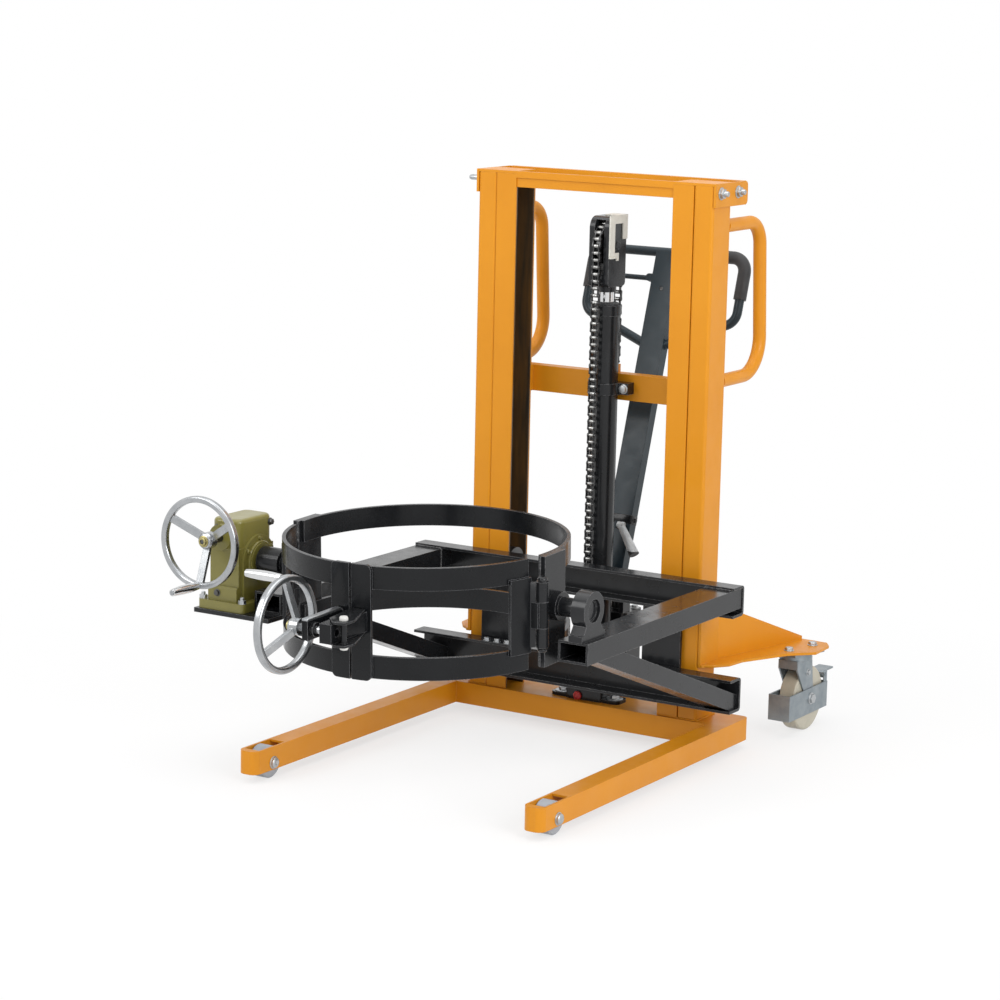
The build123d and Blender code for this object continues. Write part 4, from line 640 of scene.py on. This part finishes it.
def makeLatch():
    bm = bmesh.new()
    for up in (latch["gap"], -latch["gap"] - latch["plate"]):
        addForm(bm, plateForm(latch["yoke"], latch["plate"], corner=0.004, edge=0.0006), onLatch(0, 0, up))
    addForm(bm, turnedForm(latch["pin"], 24), onLatch(*latch["post"], 0))
    finishPiece("latch_yoke", bm, "black", "right_door")
    bm = bmesh.new()
    form = plateForm(latch["strip"], latch["stripPlate"], corner=0.003, edge=0.0006)
    addForm(bm, form, onLatch(0, 0, latch["stripLift"]))
    finishPiece("latch_strip", bm, "zinc", "left_door")
    bm = bmesh.new()
    for way in (-1, 1):
        place = onLatch(*latch["post"], way * latch["bushSeat"])
        addForm(bm, turnedForm(latch["bush"], 24), place @ aim((0, 0, 0), (0, 0, way)))
    finishPiece("latch_bushes", bm, "whiteNylon", "right_door")


# Leaves that close the gap between each door's hinge plate and the knuckles
leaf = {"door": (0.2905, -0.0785), "pin": (0.3050, -0.0650), "half": 0.0032, "low": 0.3795, "high": 0.5145}


def makeHingeLeaf(side, name):
    bm = bmesh.new()
    start = Vector((side * leaf["door"][0], leaf["door"][1]))
    end = Vector((side * leaf["pin"][0], leaf["pin"][1]))
    along = (end - start).normalized()
    across = Vector((-along.y, along.x)) * leaf["half"]
    outline = [start + across, start - across, end - across, end + across]
    form = plateForm(outline, leaf["high"] - leaf["low"], corner=0.0008, edge=0.0008)
    addForm(bm, form, cageTurn @ Matrix.Translation((0, 0, leaf["low"] - cage["height"])))
    finishPiece(name + "_hinge_leaf", bm, "black", name + "_door")


# Hinge pins: domed heads above and below the knuckles
hinge = {"x": 0.316, "y": -0.056, "low": 0.3746, "high": 0.5194,
         "dome": [(0, -0.001), (0.0105, -0.001), (0.0105, 0.0022), (0.0085, 0.0050), (0.0040, 0.0064),
                  (0, 0.0066)]}


def makeHingeHeads():
    bm = bmesh.new()
    for side in (-1, 1):
        for z, way in ((hinge["low"], -1), (hinge["high"], 1)):
            place = aim(onCage(side * hinge["x"], hinge["y"], z), way * cageUp)
            addForm(bm, turnedForm(hinge["dome"], 24), place)
    finishPiece("hinge_pin_heads", bm, "black", "cage")


# Cylinder: wiper ring on the gland, broad washers on the foot's ears and a red plug in its front
cylinder = {
    "glandTop": (0, 0.722, 0.9789), "plugPlace": (-0.014, 0.6651, 0.079),
    "wiper": [(0.0186, 0), (0.0290, 0), (0.0290, 0.0030), (0.0262, 0.0052), (0.0206, 0.0066), (0.0186, 0.0040),
              (0.0186, 0)],
    "plug": [(0, 0), (0.0105, 0), (0.0105, 0.0040), (0.0092, 0.0056), (0.0060, 0.0060), (0.0050, 0.0048),
             (0, 0.0048)],
    "earX": (-0.068, 0.068), "earYZ": (0.692, 0.0779), "earBolt": (0.0190, 0.0068, 0.0195, 0.003),
}


def makeCylinderParts():
    bm = bmesh.new()
    addForm(bm, turnedForm(cylinder["wiper"], 40), aim(cylinder["glandTop"], (0, 0, 1)))
    finishPiece("gland_wiper", bm, "rubber", "chassis")
    bm = bmesh.new()
    addForm(bm, turnedForm(cylinder["plug"], 28), aim(cylinder["plugPlace"], (0, -1, 0)))
    finishPiece("foot_plug", bm, "redCap", "chassis")
    bm = bmesh.new()
    for x in cylinder["earX"]:
        addBolt(bm, (x, *cylinder["earYZ"]), (0, 0, 1), *cylinder["earBolt"])
    finishPiece("foot_bolts", bm, "zinc", "chassis")


# Roller chain: waisted plates from pin to pin, outer and inner in turn, with rollers and riveted pins
chain = {"frontY": 0.672, "rearY": 0.772, "sheaveZ": 1.114, "radius": 0.050, "pitch": 0.73 / 46, "end": 0.0046,
         "waist": 0.0033, "inner": 0.0055, "plate": 0.0024, "roller": 0.0045, "rivet": 0.0022, "proud": 0.0005,
         "brim": 0.0006, "rise": 0.4, "play": 0.0005, "frontLinks": 46, "wrapLinks": 10, "rearLinks": 17,
         "travelling": 26}


def linkForm(length):
    outline = []
    for along, first in ((length, -30), (0, 150)):
        for k in range(9):
            angle = radians(first + 30 * k)
            outline.append((chain["end"] * cos(angle), along + chain["end"] * sin(angle)))
        outline.append((chain["waist"] * (-1 if along else 1), length / 2))
    return flatForm(outline, chain["plate"])


# A run can leave its first or last pin to the run that it joins
def addChain(bm, pins, firstInner=False, skip=()):
    inner, plate, r, rivet = (chain[k] for k in ("inner", "plate", "roller", "rivet"))
    reach = inner + 2 * plate + chain["proud"]
    body = reach - chain["brim"]
    roller = [(0, -inner), (r * 0.88, -inner), (r, -inner * 0.9), (r, inner * 0.9), (r * 0.88, inner),
              (0, inner)]
    pin = [(0, -reach), (rivet * 0.7, -reach), (rivet, -body), (rivet, body), (rivet * 0.7, reach), (0, reach)]
    for k, spot in enumerate(pins):
        if k in skip:
            continue
        place = aim((0, *spot), (1, 0, 0))
        addForm(bm, turnedForm(roller, 14), place)
        addForm(bm, turnedForm(pin, 10), place)
    for k, (near, far) in enumerate(zip(pins, pins[1:])):
        way = Vector((0, far[0] - near[0], far[1] - near[1]))
        along = way.normalized()
        across = along.cross(Vector((1, 0, 0)))
        turn = Matrix((across, along, Vector((1, 0, 0)))).transposed().to_4x4()
        start = inner if (k + firstInner) % 2 else inner + plate
        for x in (start, -start - plate):
            addForm(bm, linkForm(way.length), Matrix.Translation((x, *near)) @ turn)


# The front run is made in two pieces on the carriage: the lower links, and the upper links under the sheave,
# which get a mesh of their own
def makeFrontRun():
    top, pitch, count = (chain[k] for k in ("sheaveZ", "pitch", "frontLinks"))
    pins = [(chain["frontY"], top - pitch * (count - k)) for k in range(count + 1)]
    cut = count - chain["travelling"]
    bm = bmesh.new()
    addChain(bm, pins[:cut + 1])
    low = finishPiece("chain_front_low", bm, "chain", "carriage")
    bm = bmesh.new()
    addChain(bm, pins[cut:], skip=(0, chain["travelling"]))
    high = finishPiece("chain_front_high", bm, "chain", "carriage")
    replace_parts(low, "chain_front")
    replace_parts(high, "chain_front")
    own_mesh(high)


# The links over the sheave rise with the rod
def makeWrap():
    turns = [pi * k / chain["wrapLinks"] for k in range(chain["wrapLinks"] + 1)]
    middle = (chain["frontY"] + chain["rearY"]) / 2
    bm = bmesh.new()
    r = chain["radius"]
    addChain(bm, [(middle - r * cos(a), chain["sheaveZ"] + r * sin(a)) for a in turns])
    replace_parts(finishPiece("chain_over_sheave", bm, "chain", "rod"), "chain_wrap")


# Where a point of the opened run stands at rest, from the smooth step that opens it
def closedUp(height, low, pitch, rise):
    if height <= low:
        return height
    if height >= low + pitch + rise:
        return height - rise
    near, far = 0.0, 1.0
    for _ in range(30):
        t = (near + far) / 2
        if low + pitch * t + rise * t * t * (3 - 2 * t) < height:
            near = t
        else:
            far = t
    return low + pitch * t


# The rear run stays on the crossbar; the links that come over the sheave are laid out opened above it, then
# closed up to where they stand at rest
def makeRearRun():
    pitch, rise = chain["pitch"], chain["rise"]
    low = chain["sheaveZ"] - pitch
    bm = bmesh.new()
    addChain(bm, [(chain["rearY"], low - pitch * k) for k in range(chain["rearLinks"])])
    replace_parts(finishPiece("chain_rear_fixed", bm, "chain", "chassis"), "chain_rear")
    bm = bmesh.new()
    count = chain["travelling"]
    step = (pitch + rise) / count
    opened = [(chain["rearY"], low + step * k) for k in range(count + 1)]
    addChain(bm, opened, firstInner=True, skip=(0, count))
    for vert in bm.verts:
        vert.co.z = closedUp(vert.co.z, low, pitch, rise)
    paid = finishPiece("chain_rear_paid_out", bm, "chain", None)
    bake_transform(paid)


# The foot of the sheave guard's front leg, which turns back along the block
guardFoot = {"x": 0.0252, "thickness": 0.0038,
             "outline": [(0.696, 1.0868), (0.7125, 1.0868), (0.7125, 1.0795), (0.7225, 1.0795), (0.7225, 1.0975),
                         (0.696, 1.0975)]}


def makeGuardFoot():
    bm = bmesh.new()
    upright = Matrix(((0, 0, 1), (1, 0, 0), (0, 1, 0))).to_4x4()
    form = plateForm(guardFoot["outline"], guardFoot["thickness"], corner=0.0012, edge=0.0005)
    addForm(bm, form, Matrix.Translation((guardFoot["x"], 0, 0)) @ upright)
    finishPiece("guard_foot", bm, "guard", "rod")


# A black strap round the tow handle's arm, above the pedal, and a dark screw in the arm's upper hole
strap = {"along": (0.152, 0.173), "half": 0.0316, "depth": 0.0156, "bolt": (0.0100, 0.0040, 0.0075),
         "screwAlong": 0.708, "screwOut": 0.0085,
         "screw": [(0, 0), (0.0049, 0), (0.0049, 0.0040), (0.0040, 0.0050), (0.0020, 0.0050), (0.0018, 0.0036),
                   (0, 0.0036)]}


def makeStrap():
    bm = bmesh.new()
    low, high = strap["along"]
    w, d = strap["half"], strap["depth"]
    form = plateForm([(-w, -d), (w, -d), (w, d), (-w, d)], high - low, corner=0.004, edge=0.0012)
    addForm(bm, form, Matrix.Translation(onTow(0, low, 0)) @ towTurn)
    addBolt(bm, onTow(w - 0.0002, (low + high) / 2, 0), (1, 0, 0), *strap["bolt"])
    finishPiece("handle_strap", bm, "hoop", "tow_handle")
    bm = bmesh.new()
    place = aim(onTow(0, strap["screwAlong"], strap["screwOut"]), towTurn @ Vector((0, -1, 0)))
    addForm(bm, turnedForm(strap["screw"], 20), place)
    finishPiece("handle_screw", bm, "darkSteel", "tow_handle")


# Corner plates that carry each outrigger's flange forward to the post
flangeNose = {"low": 0.1942, "thickness": 0.0056,
              "outline": [(0.3080, 0.6520), (0.3330, 0.6680), (0.3560, 0.7000), (0.3625, 0.7580),
                          (0.3200, 0.7400)]}


def makeFlangeNoses():
    bm = bmesh.new()
    for side in (-1, 1):
        outline = [(side * x, y) for x, y in flangeNose["outline"]]
        form = plateForm(outline, flangeNose["thickness"], corner=0.0030, edge=0.0010)
        addForm(bm, form, Matrix.Translation((0, 0, flangeNose["low"])))
    finishPiece("flange_noses", bm, "orange", "chassis")


# Small bolts along the lower beam, where the roller brackets stand on it
beamBolts = {"x": (0.168, 0.195, 0.222), "y": 0.600, "z": 0.1919, "bolt": (0.0120, 0.0060, 0.0090)}


def makeBeamBolts():
    bm = bmesh.new()
    for side in (-1, 1):
        for x in beamBolts["x"]:
            addBolt(bm, (side * x, beamBolts["y"], beamBolts["z"]), (0, 0, 1), *beamBolts["bolt"])
    finishPiece("beam_bolts", bm, "zinc", "carriage")


# Weld seams: start, end and bead radius on the right side, and the same on the left
welds = {
    "frame": [((0.2525, 0.7568, 0.761), (0.2525, 0.7568, 0.817), 0.0028),
              ((0.2540, 0.6500, 0.0712), (0.3000, 0.6500, 0.0712), 0.0026),
              ((0.3028, 0.6520, 0.0712), (0.3028, 0.7340, 0.0712), 0.0026),
              ((0.3320, 0.6434, 0.0240), (0.3320, 0.6434, 0.0680), 0.0024)],
    "carriage": [((0.3450, 0.5872, 0.352), (0.3450, 0.5872, 0.392), 0.0030),
                 ((0.3470, 0.5872, 0.3945), (0.4130, 0.5872, 0.3945), 0.0030)],
    "cage": [((0.3005, y, low), (0.3005, y, high), 0.0026)
             for y in (-0.0405, 0.0405) for low, high in ((0.334, 0.376), (0.518, 0.560))],
}


def asDrawn(x, y, z):
    return Vector((x, y, z))


def makeWelds(part, look, body, place):
    bm = bmesh.new()
    for side in (-1, 1):
        for (x, y, z), (endX, endY, endZ), radius in welds[part]:
            addWeld(bm, place(side * x, y, z), place(side * endX, endY, endZ), radius)
    finishPiece(part + "_welds", bm, look, body)


makeFrameBolts()
makeAxleHeads()
makeLegCorners()
makeCastorParts(-1, "left")
makeCastorParts(1, "right")
makeHubBolt("tilt_hub_bolt", hub["tilt"], (0, -1, 0), "worm")
makeHubBolt("clamp_hub_bolt", onCage(*hub["clamp"]), (-1, 0, 0), "clamp_screw")
makeGearboxParts()
makeLatch()
makeHingeLeaf(-1, "left")
makeHingeLeaf(1, "right")
makeHingeHeads()
makeCylinderParts()
makeFrontRun()
makeWrap()
makeRearRun()
makeGuardFoot()
makeFlangeNoses()
makeBeamBolts()
makeStrap()
makeWelds("frame", "orange", "chassis", asDrawn)
makeWelds("carriage", "black", "carriage", asDrawn)
makeWelds("cage", "black", "cage", onCage)
print("pieces made")


# Stage: pale floor and a soft studio, seen as plain white behind the machine

studio = {"floorSize": 30.0, "floorGrey": 0.86, "floorRough": 0.9, "centre": (0.05, 0.35, 0), "near": 0.5,
          "far": 1.9, "shade": 0.34, "worldLight": 0.60}


def seenDirectly(tree):
    path = tree.nodes.new("ShaderNodeLightPath")
    seen = maths(tree, "MAXIMUM", path.outputs["Is Camera Ray"], path.outputs["Is Glossy Ray"])
    return maths(tree, "MAXIMUM", seen, path.outputs["Is Transmission Ray"])


# The floor keeps its shadow under the machine and fades to the white of the backdrop around it
def makeFloor():
    mesh = bpy.data.meshes.new("floor")
    bm = bmesh.new()
    bmesh.ops.create_grid(bm, x_segments=1, y_segments=1, size=studio["floorSize"])
    bm.to_mesh(mesh)
    bm.free()
    floor = bpy.data.objects.new("floor", mesh)
    scene.collection.objects.link(floor)
    mat, tree, bsdf = newMaterial("paleFloor")
    bsdf.inputs["Base Color"].default_value = (*[studio["floorGrey"]] * 3, 1)
    bsdf.inputs["Roughness"].default_value = studio["floorRough"]
    glow = tree.nodes.new("ShaderNodeEmission")
    glow.inputs["Strength"].default_value = 1.0
    mix = tree.nodes.new("ShaderNodeMixShader")
    reach = tree.nodes.new("ShaderNodeVectorMath")
    reach.operation = "LENGTH"
    link(tree, objectPoint(tree, centre=studio["centre"]), reach.inputs[0])
    fade = span(tree, reach.outputs["Value"], studio["near"], studio["far"], 1 - studio["shade"], 1.0)
    link(tree, maths(tree, "MULTIPLY", seenDirectly(tree), fade), mix.inputs["Fac"])
    link(tree, bsdf.outputs["BSDF"], mix.inputs[1])
    link(tree, glow.outputs["Emission"], mix.inputs[2])
    link(tree, mix.outputs["Shader"], tree.nodes["Material Output"].inputs["Surface"])
    mesh.materials.append(mat)


def makeWorld():
    world = bpy.data.worlds.new("studio")
    world.use_nodes = True
    scene.world = world
    tree = world.node_tree
    background = tree.nodes["Background"]
    background.inputs["Color"].default_value = (1, 1, 1, 1)
    strength = span(tree, seenDirectly(tree), 0, 1, studio["worldLight"], 1.0)
    link(tree, strength, background.inputs["Strength"])


# Soft boxes, each turned to the middle of the machine
lamps = {"keyLeft": {"place": (-2.6, -3.6, 3.4), "size": (3.0, 2.4), "power": 104},
         "fillRight": {"place": (4.4, -1.6, 2.4), "size": (2.4, 2.4), "power": 122},
         "topSoft": {"place": (0, 0.4, 4.2), "size": (4.0, 4.0), "power": 80}}
lampTarget = Vector((0, 0.45, 0.6))


def makeLights():
    for name, values in lamps.items():
        lamp = bpy.data.lights.new(name, "AREA")
        lamp.shape = "RECTANGLE"
        lamp.size, lamp.size_y = values["size"]
        lamp.energy = values["power"]
        obj = bpy.data.objects.new(name, lamp)
        obj.location = values["place"]
        obj.rotation_euler = (lampTarget - Vector(values["place"])).to_track_quat("-Z", "Y").to_euler()
        scene.collection.objects.link(obj)


makeFloor()
makeWorld()
makeLights()

# Camera at the photograph's viewing angle
camera = {"place": (3.2888, -5.0416, 1.7545), "azimuth": 31.7, "down": 10.51, "roll": 1.24, "lens": 106.2,
          "sensor": 36, "farClip": 60}


def makeCamera():
    azimuth, down, roll = (radians(camera[k]) for k in ("azimuth", "down", "roll"))
    forward = Vector((-sin(azimuth) * cos(down), cos(azimuth) * cos(down), -sin(down)))
    right = Vector((cos(azimuth), sin(azimuth), 0))
    up = right.cross(forward)
    rolledRight = cos(roll) * right + sin(roll) * up
    rolledUp = -sin(roll) * right + cos(roll) * up
    data = bpy.data.cameras.new("photoView")
    data.sensor_width = camera["sensor"]
    data.lens = camera["lens"]
    data.clip_end = camera["farClip"]
    obj = bpy.data.objects.new("photoView", data)
    turn = Matrix((rolledRight, rolledUp, -forward)).transposed().to_4x4()
    obj.matrix_world = Matrix.Translation(camera["place"]) @ turn
    scene.collection.objects.link(obj)
    scene.camera = obj


makeCamera()
print("stage and camera ready")
